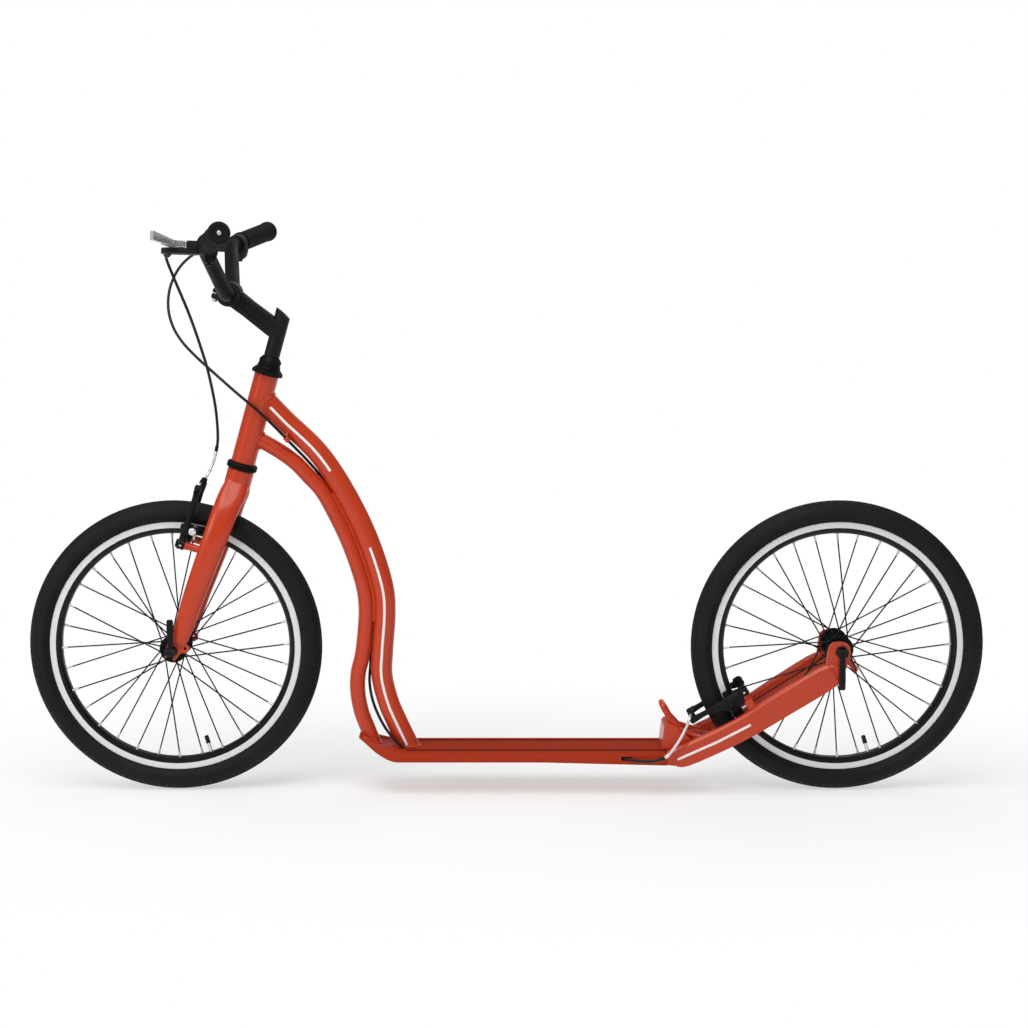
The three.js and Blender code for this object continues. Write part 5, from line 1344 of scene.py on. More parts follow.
# Stations of an arm: rise, half width, half depth and shift
ARM_STATIONS = {
    "front": (
        (-2, 6.6, 5.6, 0), (10, 6.4, 5.8, 0), (24, 6.6, 6.0, 0), (35, 6.0, 5.6, 0), (44, 4.6, 4.6, 0),
        (60, 4.2, 4.2, 0), (80, 4.4, 4.4, 0), (90, 5.0, 5.2, 0), (98, 5.2, 5.8, 0), (101, 4.2, 4.6, 0),
    ),
    "rear": (
        (-2, 6.6, 7.6, 2), (10, 6.4, 11.8, 6), (24, 6.6, 13.0, 7), (35, 6.0, 12.0, 6), (44, 4.6, 7.6, 3),
        (60, 4.2, 4.2, 0), (80, 4.4, 4.4, 0), (90, 5.0, 5.2, 0), (98, 5.2, 5.8, 0), (101, 4.2, 4.6, 0),
    ),
}
CLAMP_RISE = 90
HOLDER_INNER = 5.5
HOLDER_OUTER = 11
# Stations of a pad: place along the rim, and share of the full section
PAD_STATIONS = (
    (-24, 0.72), (-22.5, 0.92), (-16, 1), (-8, 1), (0, 1), (8, 1), (16, 1), (22.5, 0.92), (24, 0.72),
)
PAD_THICKNESS = 9
PAD_HALF_HEIGHT = 5.5
PAD_GAP = 1.5
PAD_BELOW_EDGE = 7.6
WIRE_RADIUS = 0.8
SPRING_RADIUS = 0.9
PIPE_RADIUS = 2.4
BOOT_LENGTH = 30
PAD_RISES = {"front": 26.9, "rear": 28.3}
NOODLE_ROUTES = {
    "front": ((0, 18, 103.6), (0, 34, 103.6), (0.6, 44, 106.5), (1.8, 50, 114), (3.2, 52.5, 124),
              (4.3, 53, 137.1), (3.3, 50.4, 152.8)),
    "rear": ((-9, 20, 95), (-9, 36, 96), (-8, 45, 98.5), (2.2, 51.5, 113), (12.6, 59, 132.1),
             (22.2, 65.4, 156.6), (24.3, 65.5, 166.3)),
}


def arm_y(z):
    """How far out a brake arm's middle is at a height."""
    return PIVOT_Y + (TIP_Y - PIVOT_Y) * z / ARM_LENGTH


class KICKBIKE_OT_brakes(bpy.types.Operator):
    """Rim brakes: arms, springs, pads with their bolts, and the bent cable pipes"""

    bl_idname = "kickbike.brakes"
    bl_label = "Rim brakes"

    def execute(self, context):
        for end, side_names in (("front", ("left", "right")), ("rear", ("right", "left"))):
            for side, side_name in zip((-1, 1), side_names):
                body = end + "_" + side_name + "_arm"
                self.arm(end, side, side_name, body)
                self.pad(end, side, side_name, body)
            self.noodle(end, end + "_" + side_names[1] + "_arm")
        return {"FINISHED"}

    def arm(self, end, side, side_name, body):
        rise = PAD_RISES[end]
        rings = []
        for z, half_width, half_depth, shift in ARM_STATIONS[end]:
            centre = Vector((shift, side * arm_y(max(z, 0)), z))
            rings.append(rounded_section(centre, X, half_depth, Y, half_width, 0.5, 24))
        bar = loft("bar", rings)
        y = side * PIVOT_Y
        root = turned_between(
            "root", Vector((-6, y, 0)), Vector((6, y, 0)),
            [(5.2, 0), (8.2, 0), (9, 0.8), (9, 4), (8.4, 4.8), (8.4, 7), (9, 7.8), (9, 11.2), (8.2, 12),
             (5.2, 12)],
            40,
        )
        drilled(bar, Vector((-20, y, 0)), Vector((20, y, 0)), 5.2)
        holder_y = side * arm_y(rise)
        outer = Vector((PAD_OFFSET, holder_y + side * HOLDER_OUTER, rise))
        inner = Vector((PAD_OFFSET, holder_y - side * HOLDER_INNER, rise))
        profile = [(4.2, 0), (6.6, 0), (7.2, 0.7), (7.2, 15.8), (6.6, 16.5), (4.2, 16.5)]
        holder = turned_between("holder", inner, outer, profile, 32)
        low, high = sorted((holder_y - side * 5.2, holder_y + side * 5.2))
        lug = plate(
            "lug", [(0, rise - 6), (PAD_OFFSET - 5, rise - 5.6), (PAD_OFFSET - 5, rise + 5.6), (0, rise + 6)],
            low, high, 0.8,
        )
        for part in (bar, root, holder, lug):
            coat(part, "cast_black")
        parts = [bar, root, holder, lug, *self.spring(side), *self.top(end, side)]
        arm = joined(end + "_" + side_name + "_brake_lever_arm", parts)
        replaced = [end + "_" + side_name + "_brake_arm"]
        finished(arm, body, brake_frames[end], None, replaced)

    def spring(self, side):
        """Return spring: a wire from the root up the back of the arm, with its screw."""
        y = side * (PIVOT_Y + 7.4)
        route = smooth_route([(4.5, y - side * 2, -3), (5.4, y, 8), (5.6, side * (arm_y(30) + 6.6), 30),
                              (5.0, side * (arm_y(58) + 4.4), 58), (1.0, side * (arm_y(62) + 4.8), 62)], 3)
        wire = coat(tube("spring", route, SPRING_RADIUS, 2), "spoke")
        seat, end = Vector((0, y - side * 1.6, -1)), Vector((0, y + side * 2.6, -1))
        return [wire, rounded_rod("screw", seat, end, 2.0, 0.4, 12, "steel")]

    def top(self, end, side):
        """Cable holder on one arm's tip, cable clamp on the other."""
        if side > 0:
            x, _, z = NOODLE_ROUTES[end][0]
            outline = [(x - 5, z - 7), (x + 5, z - 7), (x + 5, z + 1), (x + 3.6, z + 3.8), (x - 3.6, z + 3.8),
                       (x - 5, z + 1)]
            return [coat(plate("saddle", outline, TIP_Y - 4.2, TIP_Y - 1.2, 0.7), "cast_black")]
        y = -arm_y(CLAMP_RISE)
        anchor = turned_between(
            "anchor", Vector((0, y - 5, CLAMP_RISE)), Vector((0, y - 12, CLAMP_RISE)),
            [(0, 0), (5, 0), (5, 1.4), (4.2, 1.8), (4.2, 6), (3.6, 6.6), (2.2, 6.6), (2.2, 4), (0, 4)],
            24, "black_coat",
        )
        return [anchor]

    def pad(self, end, side, side_name, body):
        """Curved rubber pad with its steel holder, washers and bolt."""
        rise = PAD_RISES[end]
        track = RIM_EDGE - PAD_BELOW_EDGE
        face = RIM_HALF_WIDTH + PAD_GAP
        local = brake_frames[end].inverted() @ axle_frames[end].translation
        offset = PAD_OFFSET - local.x
        tilt = math.atan2(offset, rise - local.z)
        rings = []
        for x, squeeze in PAD_STATIONS:
            drop = track - math.sqrt(track * track - x * x)
            centre = Vector((x, side * (face + PAD_THICKNESS / 2), -drop * 0.9 + 1.2))
            half_height, half_depth = PAD_HALF_HEIGHT * squeeze, PAD_THICKNESS / 2 * squeeze
            rings.append(rounded_section(centre, Z, half_height, Y, half_depth, 0.4, 20))
        block = coat(loft("block", rings), "pad_rubber")
        place = Matrix.Translation((PAD_OFFSET, 0, rise)) @ Matrix.Rotation(tilt, 4, "Y")
        block.data.transform(place)
        base = side * (face + PAD_THICKNESS)
        arm_face = side * (arm_y(rise) - HOLDER_INNER)
        nut_face = side * (arm_y(rise) + HOLDER_OUTER + 0.3)
        centre = Vector((PAD_OFFSET, 0, rise))
        room = abs(arm_face - base)
        profile = [(0, 0), (5.6, 0), (5.6, room), (0, room)]
        if room > 5.4:
            profile = [(0, 0), (6, 0), (6.4, 0.5), (6.2, 2.2), (5, 3.4), (4.8, 4.2), (6, 4.8), (6, 5.4),
                       (0, 5.4)]
        washer = turned_between("washer", centre + Y * base, centre + Y * arm_face, profile, 24, "steel")
        stud = rounded_rod("stud", centre + Y * base, centre + Y * nut_face, 3.4, 0.2, 16, "steel")
        nut = turned_between(
            "nut", centre + Y * nut_face, centre + Y * (nut_face + side * 5),
            [(0, 0), (6, 0), (6, 1.4), (4.8, 1.8), (4.8, 4.4), (4.2, 5), (2.4, 5), (2.4, 2.6), (0, 2.6)],
            24, "black_coat" if end == "rear" else "polished",
        )
        pad = joined(end + "_" + side_name + "_brake_shoe", [block, washer, stud, nut])
        replaced = [end + "_" + side_name + "_brake_pad"]
        finished(pad, body, brake_frames[end], None, replaced)

    def noodle(self, end, body):
        """Bent pipe that leads the cable into the brake, with its bellows and its end cap."""
        points = NOODLE_ROUTES[end]
        pipe = coat(tube("pipe", smooth_route(points, 2), PIPE_RADIUS, 4), "polished")
        start = Vector(points[0])
        boot_outline = [(0, 0)]
        for i in range(9):
            boot_outline += [(4.4 - 0.12 * i, 1.0 + 3.2 * i), (3.4 - 0.12 * i, 2.6 + 3.2 * i)]
        boot_outline += [(2.2, BOOT_LENGTH), (0, BOOT_LENGTH)]
        boot = turned_between("boot", start, start - Y * BOOT_LENGTH, boot_outline, 20, "grip_rubber")
        tip, before = Vector(points[-1]), Vector(points[-2])
        ferrule = turned_between(
            "ferrule", tip, tip + (before - tip).normalized() * 9,
            [(0, 0), (2.6, 0), (3.2, 0.6), (3.2, 8), (2.5, 9), (0, 9)], 20, "polished",
        )
        wire_end = Vector((0, -arm_y(CLAMP_RISE) + 1, CLAMP_RISE))
        self.wire(end, body, start - Y * (BOOT_LENGTH + 0.2), wire_end)
        noodle = joined(end + "_cable_pipe", [pipe, boot, ferrule])
        finished(noodle, body, brake_frames[end], None, [end + "_brake_noodle"])

    def wire(self, end, body, start, tip):
        """Bare wire between the boot and the clamp."""
        route = smooth_route([start, start.lerp(tip, 0.5), tip], 3)
        wire = coat(tube(end + "_brake_wire", route, WIRE_RADIUS, 2), "polished")
        wire.data.transform(brake_frames[end])
        smoothed(wire, CABLE_ANGLE)
        start, tip = (list(brake_frames[end] @ point) for point in (start, tip))
        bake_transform(wire)


# Cables, in the bike's frame
CABLE_RADIUS = 2.4
CABLE_ANGLE = 40
FRONT_CABLE = (
    (-530.1, -180.6, 898), (-532.2, -172.9, 896.9), (-531, -167, 888), (-526, -163, 873), (-519, -157, 853),
    (-504.3, -138, 809.3), (-496, -112, 774), (-490.3, -88, 744), (-485.8, -64, 715.9), (-481.8, -20, 665.3),
    (-481.5, 5, 638.5), (-482.6, 30, 605), (-485, 45, 582), (-488.4, 50.3, 567.32),
)
REAR_LOOP = (
    (-530.1, 180.6, 898), (-533, 173.4, 896.7), (-545, 166.5, 888.5), (-559, 156, 873), (-569, 139, 852),
    (-573.5, 120, 828), (-571, 98, 800), (-560, 76, 773), (-542, 53, 750), (-518, 28, 729), (-493, 5, 710),
    (-463, -17, 687), (-444, -25, 671.5), (-427, -28, 657.5), (-411, -27, 643.5), (-394.9, -24, 628.4),
)
FRAME_CABLE = (
    (-394.5, -23.9, 628), (-379.6, -21.5, 612.5), (-362.1, -18, 593.5), (-351, -9.5, 580), (-341.5, 0, 568.5),
    (-331.5, 9, 556), (-318, 13.5, 539.5), (-299, 13.5, 514.6), (-284.5, 13, 495.2), (-265.4, 13, 459.2),
    (-246.9, 13, 416.2), (-231.2, 13, 379.4), (-223, 13, 336.4), (-221, 13, 300.4), (-223.6, 12.5, 268),
    (-226.8, 11, 240), (-229, 5, 210), (-230.2, 0, 181), (-223.5, -3, 146), (-204.5, -12, 107.5),
    (-186, -20, 86), (-172, -23.5, 74.5), (-158, -25.5, 67), (-140, -26, 65), (-60, -25, 65), (60, -25, 65),
    (140, -26, 64.6), (166, -31, 64), (186, -43, 63.4), (203, -56, 62.6), (222, -62.5, 61.2),
    (243, -65.8, 62), (262.3, -65.5, 66.75),
)


class KICKBIKE_OT_cables(bpy.types.Operator):
    """Brake cable housings with their end caps"""

    bl_idname = "kickbike.cables"
    bl_label = "Cables"

    def execute(self, context):
        front = self.housing("front_cable_housing", FRONT_CABLE, True, True)
        self.bending(front, "fork", "front_right_arm", FRONT_CABLE[-4], FRONT_CABLE[-1], "front_brake_cable")
        loop = self.housing("rear_cable_loop_housing", REAR_LOOP, True, False)
        self.bending(loop, "fork", "frame", REAR_LOOP[6], REAR_LOOP[-1], "rear_cable_loop")
        rear = self.housing("rear_cable_housing", FRAME_CABLE, False, True)
        self.bending(rear, "frame", "rear_left_arm", FRAME_CABLE[-4], FRAME_CABLE[-1], "rear_brake_cable")
        return {"FINISHED"}

    def housing(self, name, points, first_cap, last_cap):
        route = smooth_route(points, 4)
        parts = [coat(tube(name, route, CABLE_RADIUS, 4), "housing")]
        for wanted, place, inner in ((first_cap, route[0], route[2]), (last_cap, route[-1], route[-3])):
            if wanted:
                profile = [(0, -0.1), (2.7, -0.1), (3.0, 0.5), (3.0, 9), (2.5, 10), (0, 10)]
                parts.append(turned_between("cap", place, inner, profile, 20, "black_plastic"))
        return joined(name, parts)

    def bending(self, obj, first, second, start, end, node_name):
        obj.data.transform(bike_frame)
        smoothed(obj, CABLE_ANGLE)
        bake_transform(obj)
        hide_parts(node_name)


# Footboard, in the bike's frame
DECK_TOP = 74.0
DECK_BOTTOM = 56
DECK_FRONT = -176.0
DECK_REAR = 300.0
DECK_STATIONS = (
    (DECK_FRONT, DECK_BOTTOM), (DECK_FRONT + 4, DECK_BOTTOM), (DECK_FRONT + 8, DECK_BOTTOM),
    (62, DECK_BOTTOM), (180, 53), (DECK_REAR - 6, 50.2), (DECK_REAR, 50),
)
NOSE_LENGTH = 71
NOSE_RISE = 22
NOSE_BOTTOM = 91
NOSE_HALF_WIDTH = 26
# Stations of the nose, in shares: run, narrowing, lift of its bottom and rise of its top
NOSE_STATIONS = ((1, 1, 1, 1), (0.86, 0.81, 0.79, 0.82), (0.73, 0.62, 0.58, 0.62), (0.6, 0.45, 0.39, 0.445),
                 (0.45, 0.28, 0.22, 0.27), (0.32, 0.13, 0.1, 0.14), (0.18, 0.02, 0.02, 0.03), (0.06, 0, 0, 0))


def nose_recess(narrow):
    """How deep the nose's top lies sunk between its edges."""
    return 3.4 * min(1, narrow * 3) if narrow < 1 else 1.6


def nose_top():
    """The sunk top of the nose and the board, as (x, z) from the tip back."""
    tops = []
    for run, narrow, _, rise in NOSE_STATIONS:
        tops.append((DECK_FRONT - NOSE_LENGTH * run, DECK_TOP + NOSE_RISE * rise - nose_recess(narrow)))
    return [*tops, (DECK_FRONT, DECK_TOP), (DECK_REAR, DECK_TOP)]


class KICKBIKE_OT_footboard(bpy.types.Operator):
    """Footboard: a hollow board with two grooves and a rising nose"""

    bl_idname = "kickbike.footboard"
    bl_label = "Footboard"
    half_width = 55.0
    groove_place = 37.0
    groove_depth = 2.2
    pocket_front, pocket_inner = 267.7, 36.8
    past_rear, past_side = 310, 60

    def execute(self, context):
        rings = []
        for run, narrow, lift, rise in NOSE_STATIONS:
            half = self.half_width + (NOSE_HALF_WIDTH - self.half_width) * narrow
            low = DECK_BOTTOM + (NOSE_BOTTOM - DECK_BOTTOM) * lift
            high = DECK_TOP + NOSE_RISE * rise
            recess = nose_recess(narrow)
            rings.append(self.section(DECK_FRONT - NOSE_LENGTH * run, half, low, high, 0.0, recess))
        for x, low in DECK_STATIONS:
            groove = self.groove_depth if x > DECK_FRONT + 5 else 0.0
            rings.append(self.section(x, self.half_width, low, DECK_TOP, groove, 0.0))
        board = loft("footboard_shell", rings)
        self.pockets(board)
        # The board's faces take darker copies of the frame paint: painted shade on its body, on its top and
        # in its grooves
        coat(board, "deck_paint", "deck_top", "deck_groove")
        for face in board.data.polygons:
            x, y, z = face.center
            # Faces sunk in the grooves take the painted groove shade, upward faces of the top the painted top
            # shade
            over_groove = x > DECK_FRONT + 6 and abs(abs(y) - self.groove_place) < 4
            if over_groove and DECK_TOP - 3 < z < DECK_TOP - 0.5:
                face.material_index = 2
            elif face.normal.z > 0.9 and z > DECK_TOP - 1 and x > DECK_FRONT:
                face.material_index = 1
        finished(board, "frame", bike_frame, None, ["footboard"], 25)
        return {"FINISHED"}

    def section(self, x, half, low, high, groove, recess):
        """Rounded board section with its grooves, or with the nose's sunk top."""
        g = self.groove_place * half / self.half_width
        edge = min(3.0, (high - low) * 0.35)
        right = [
            (half - edge, low), (half - edge * 0.3, low + edge * 0.3), (half, low + edge),
            (half, high - edge), (half - edge * 0.3, high - edge * 0.3), (half - edge, high),
            (g + 4.4, high), (g + 3.6, high - 0.2 - recess * 0.2), (g + 3.2, high - groove - recess),
            (g - 3.2, high - groove - recess), (g - 3.6, high - 0.2 * (groove > 0) - recess),
            (g - 4.4, high - recess),
        ]
        left = [(-y, z) for y, z in reversed(right)]
        return [(x, y, z) for y, z in (*right, *left)]

    def pockets(self, board):
        """Cuts for the stays and for the cable's way in and out."""
        for side in (-1, 1):
            low, high = sorted((side * self.pocket_inner, side * self.past_side))
            room = rectangle(self.pocket_front, 0, self.past_rear, 80)
            cut(board, plate("pocket", room, low, high, 0.1))
        cut(board, plate("chamber", rectangle(DECK_FRONT + 4, 59, self.past_rear, 70), -31, 31, 0.1))
        cut(board, plate("entry", rectangle(-182, 62, -152, 84), -27, -19.5, 0.1))
        way_out = [(150, -27), (150, -32), (168, -36), (184, -47), (196, -60), (216, -60), (204, -50),
                   (188, -38), (168, -27)]
        cut(board, plate("leave", way_out, 59.6, 66.6, 0.1, "XY"))


# Main tubes, in the bike's frame, with points as (x, z)
UPPER_TUBE = (
    (-405.8, 664.1), (-367.5, 623.9), (-312.7, 569.9), (-269.3, 503.8), (-230.9, 423.2), (-205.7, 338.7),
    (-203.6, 300), (-208.2, 235), (-209.5, 195), (-198.9, 148.6), (-184.6, 114.2), (-165.6, 74), (-159.8, 62),
)
LOWER_TUBE_START = (-424.1, 599.4)
# Places on the way from the lower tube's start to its end, in shares across and down
LOWER_TUBE_TOP = ((0, 0), (0.2298, 0.05), (0.3636, 0.088), (0.4782, 0.134))
LOWER_TUBE_FOOT = ((0.8937, 0.695), (0.8555, 0.76), (0.853, 0.82), (0.8848, 0.885), (0.9387, 0.94), (1, 1))
LOWER_TUBE_END = (-220.0, 68.0)
TUBE_CONTACTS = (0.28, 0.35, 0.42, 0.49, 0.56, 0.62, 0.67)
TUBE_DISTANCE = 31.45
SEAM_RUN = (0.3, 0.655)
SEAM_RADIUS = 2.6
SEAM_DROP = 18.2
SEAM_ASIDE = 5.2
HEAD_WELD_SHARE = 0.03
BOARD_WELD_FROM = 0.85
BOARD_WELD_STEPS = 400
BEAD_RIPPLE = 0.14
STRIPE_FLATNESS = 0.2
CLIP_SHARE = 0.09
STRIPE_RUNS = ((0.036, 0.25), (0.462, 0.975))


def point_at(route, share):
    """Point and direction at a share of a route's length."""
    lengths = [(b - a).length for a, b in zip(route, route[1:])]
    goal = sum(lengths) * share
    for a, b, length in zip(route, route[1:], lengths):
        if goal <= length:
            return a.lerp(b, goal / length), (b - a).normalized()
        goal -= length
    return route[-1], (route[-1] - route[-2]).normalized()


def upper_route():
    """Middle line of the upper tube."""
    return smooth_route([(x, 0, z) for x, z in UPPER_TUBE], 4)


def lower_route():
    """Middle line of the lower tube, which lies along the upper one for a while."""
    upper = upper_route()
    (x0, z0), (x1, z1) = LOWER_TUBE_START, LOWER_TUBE_END

    def between(run, drop):
        return Vector((x0 + (x1 - x0) * run, 0, z0 + (z1 - z0) * drop))

    touching = []
    for share in TUBE_CONTACTS:
        point, direction = point_at(upper, share)
        touching.append(point + Vector((direction.z, 0, -direction.x)) * TUBE_DISTANCE)
    return smooth_route(
        [*[between(*s) for s in LOWER_TUBE_TOP], *touching, *[between(*s) for s in LOWER_TUBE_FOOT]], 4
    )


def board_cutter():
    """Everything under the footboard's top skin."""
    outline = [(-320, 94), *[(x, z - 0.6) for x, z in nose_top()], (DECK_REAR, 0), (-320, 0)]
    return plate("board_room", outline, -120, 120, 0.01)


def head_cutter():
    """Everything inside the head tube's skin."""
    rod = rounded_rod("head_room", Vector((0, 0, -20)), Vector((0, 0, 175)), 19.6, 0.1, 64)
    rod.data.transform(bike_frame.inverted() @ steering_frame)
    return rod


def flat_stripe(points, across, width):
    """A thin painted ribbon beside a route, to one side of it."""
    ribbon = tube("stripe", [Vector((p.x, 0, p.z)) for p in points], width / 2, 3)
    for vertex in ribbon.data.vertices:
        x, y, z = vertex.co
        nearest = min(points, key=lambda p: (x - p.x) ** 2 + (z - p.z) ** 2)
        vertex.co.y = y * STRIPE_FLATNESS + across + nearest.y
    return ribbon


def weld_bead(name, ring, radius):
    """A rippled bead laid along a closed ring of points."""
    count = len(ring)
    radii = [1 + BEAD_RIPPLE * math.sin(math.tau * 5 * i / 12) for i in range(count + 1)]
    return coat(tube(name, [*ring, ring[0]], radius, 3, radii), "weld")


def skin_point(centre, direction, half_side, half_up, angle):
    """Point on an oval tube's skin, at an angle round its direction."""
    up = Vector((-direction.z, 0, direction.x))
    return centre + Y * (half_side * math.cos(angle)) + up * (half_up * math.sin(angle))


def ring_on_head(route, half_side, half_up, count=60):
    """Ring where a tube's skin meets the head tube."""
    inverse = steering_frame.inverted() @ bike_frame
    base, direction = point_at(route, HEAD_WELD_SHARE)
    ring = []
    for i in range(count):
        point = skin_point(base, direction, half_side, half_up, math.tau * i / count)
        low, high = -60.0, 60.0
        for _ in range(24):
            middle = (low + high) / 2
            local = inverse @ (point + direction * middle)
            if math.hypot(local.x, local.y) > HEAD_RADIUS:
                high = middle
            else:
                low = middle
        ring.append(point + direction * high)
    return ring


def ring_on_board(route, half_side, half_up, count=60):
    """Ring where a tube's skin meets the top of the board."""
    top = nose_top()
    ring = []
    for i in range(count):
        for step in range(BOARD_WELD_STEPS + 1):
            share = BOARD_WELD_FROM + (1 - BOARD_WELD_FROM) * step / BOARD_WELD_STEPS
            point, direction = point_at(route, share)
            skin = skin_point(point, direction, half_side, half_up, math.tau * i / count)
            (x0, z0), (x1, z1) = next(
                (pair for pair in zip(top, top[1:]) if pair[0][0] <= skin.x <= pair[1][0]), (top[0], top[1])
            )
            if skin.z < z0 + (z1 - z0) * (skin.x - x0) / (x1 - x0):
                break
        ring.append(skin)
    return ring


class KICKBIKE_OT_tubes(bpy.types.Operator):
    """Upper and lower main tubes with their welds, stripes and cable clip"""

    bl_idname = "kickbike.tubes"
    bl_label = "Main tubes"
    upper_half = 18.0
    upper_side_half = 15.5
    lower_radius = 13.0

    def execute(self, context):
        upper = upper_route()
        self.main_tube("upper", upper, self.upper_half, self.upper_side_half, 10)
        self.main_tube("lower", lower_route(), self.lower_radius, self.lower_radius, 8, self.seams(upper))
        self.stripes(upper)
        self.clip()
        return {"FINISHED"}

    def main_tube(self, which, route, half_up, half_side, resolution, seams=()):
        """One main tube, cut to the head tube and the board, with a weld bead at each end."""
        name = which + "_tube_shell"
        shell = tube(name, route, half_up, resolution)
        shell.data.transform(Matrix.Diagonal((1, half_side / half_up, 1, 1)))
        cut(cut(shell, board_cutter()), head_cutter())
        coat(shell, "red_paint")
        radius = sizes().weld_radius
        beads = [
            weld_bead("bead", ring_on_head(route, half_side, half_up), radius),
            weld_bead("foot_bead", ring_on_board(route, half_side, half_up), radius),
        ]
        whole = joined(name, [shell, *beads, *seams])
        finished(whole, "frame", bike_frame, None, [which + "_main_tube"], 40)

    def seams(self, upper):
        """Weld runs on both sides, where the two tubes lie along each other."""
        first, last = SEAM_RUN
        seams = []
        for side in (-1, 1):
            points = []
            for i in range(40):
                point, direction = point_at(upper, first + (last - first) * i / 39)
                down = Vector((direction.z, 0, -direction.x))
                points.append(point + down * SEAM_DROP + Y * side * SEAM_ASIDE)
            radii = [1 + 0.16 * math.sin(i * 2.4) for i in range(len(points))]
            seams.append(coat(tube("seam", points, SEAM_RADIUS, 2, radii), "weld"))
        return seams

    def stripes(self, upper):
        width = sizes().stripe_width
        parts = []
        for side in (-1, 1):
            for first, last in STRIPE_RUNS:
                points = [point_at(upper, first + (last - first) * i / 60)[0] for i in range(61)]
                parts.append(flat_stripe(points, side * (self.upper_side_half + 0.05), width))
        stripes = coat(joined("upper_tube_stripes", parts), "stripe")
        finished(stripes, "frame", bike_frame, None, ())

    def clip(self):
        """Small clip that holds the cable under the upper tube."""
        middle = Vector(FRAME_CABLE[2])
        along = (Vector(FRAME_CABLE[3]) - Vector(FRAME_CABLE[1])).normalized()
        ring = turned_between(
            "ring", middle - along * 4.5, middle + along * 4.5,
            collar(2.7, 4.4, 0, 9, 0.6), 24,
        )
        target, _ = point_at(upper_route(), CLIP_SHARE)
        foot = middle + (target - middle).normalized() * 3.4
        tab = rounded_rod("tab", foot, middle.lerp(target, 0.8), 2.2, 0.3, 16)
        clip = joined("cable_clip_ring", [ring, tab])
        finished(clip, "frame", bike_frame, "red_paint", ["rear_cable_clip"])


# Rear stays, in the bike's frame
AXLE_Z = 245.0
AXLE_X = 554.0
STAY_RUN = AXLE_X - DECK_REAR
STAY_RISE = AXLE_Z - DECK_TOP
STAY_FRONT_Y = 46
STAY_FLARE = 10
STAY_HALF_WIDTH = 9.0
# Stations of a stay, in shares: run, rise, depth and flare
STAY_STATIONS = (
    (-0.126, -0.064, 0.128, 0), (-0.07, -0.052, 0.17, 0), (-0.012, -0.039, 0.21, 0), (0.2, 0.105, 0.217, 0.1),
    (0.4, 0.265, 0.224, 0.35), (0.62, 0.477, 0.238, 0.7), (0.88, 0.72, 0.238, 1), (0.97, 0.8, 0.18, 1),
    (1.0, 0.83, 0.1, 1),
)
STAY_DROPOUT = (
    (-1.9, -3.6), (-0.1, -3.4), (0.35, -2.2), (0.6, -1.4), (0.85, -0.9), (0.95, -0.2), (0.85, 0.5),
    (0.6, 0.85), (0.2, 1.02), (-0.5, 1.05), (-0.95, 0.95), (-1.25, 0.7), (-1.4, 0.3), (-1.6, -1.4),
)
STAY_DROPOUT_SIZE = 16
STAY_STRIPE_RUN = (-0.06, 0.475)


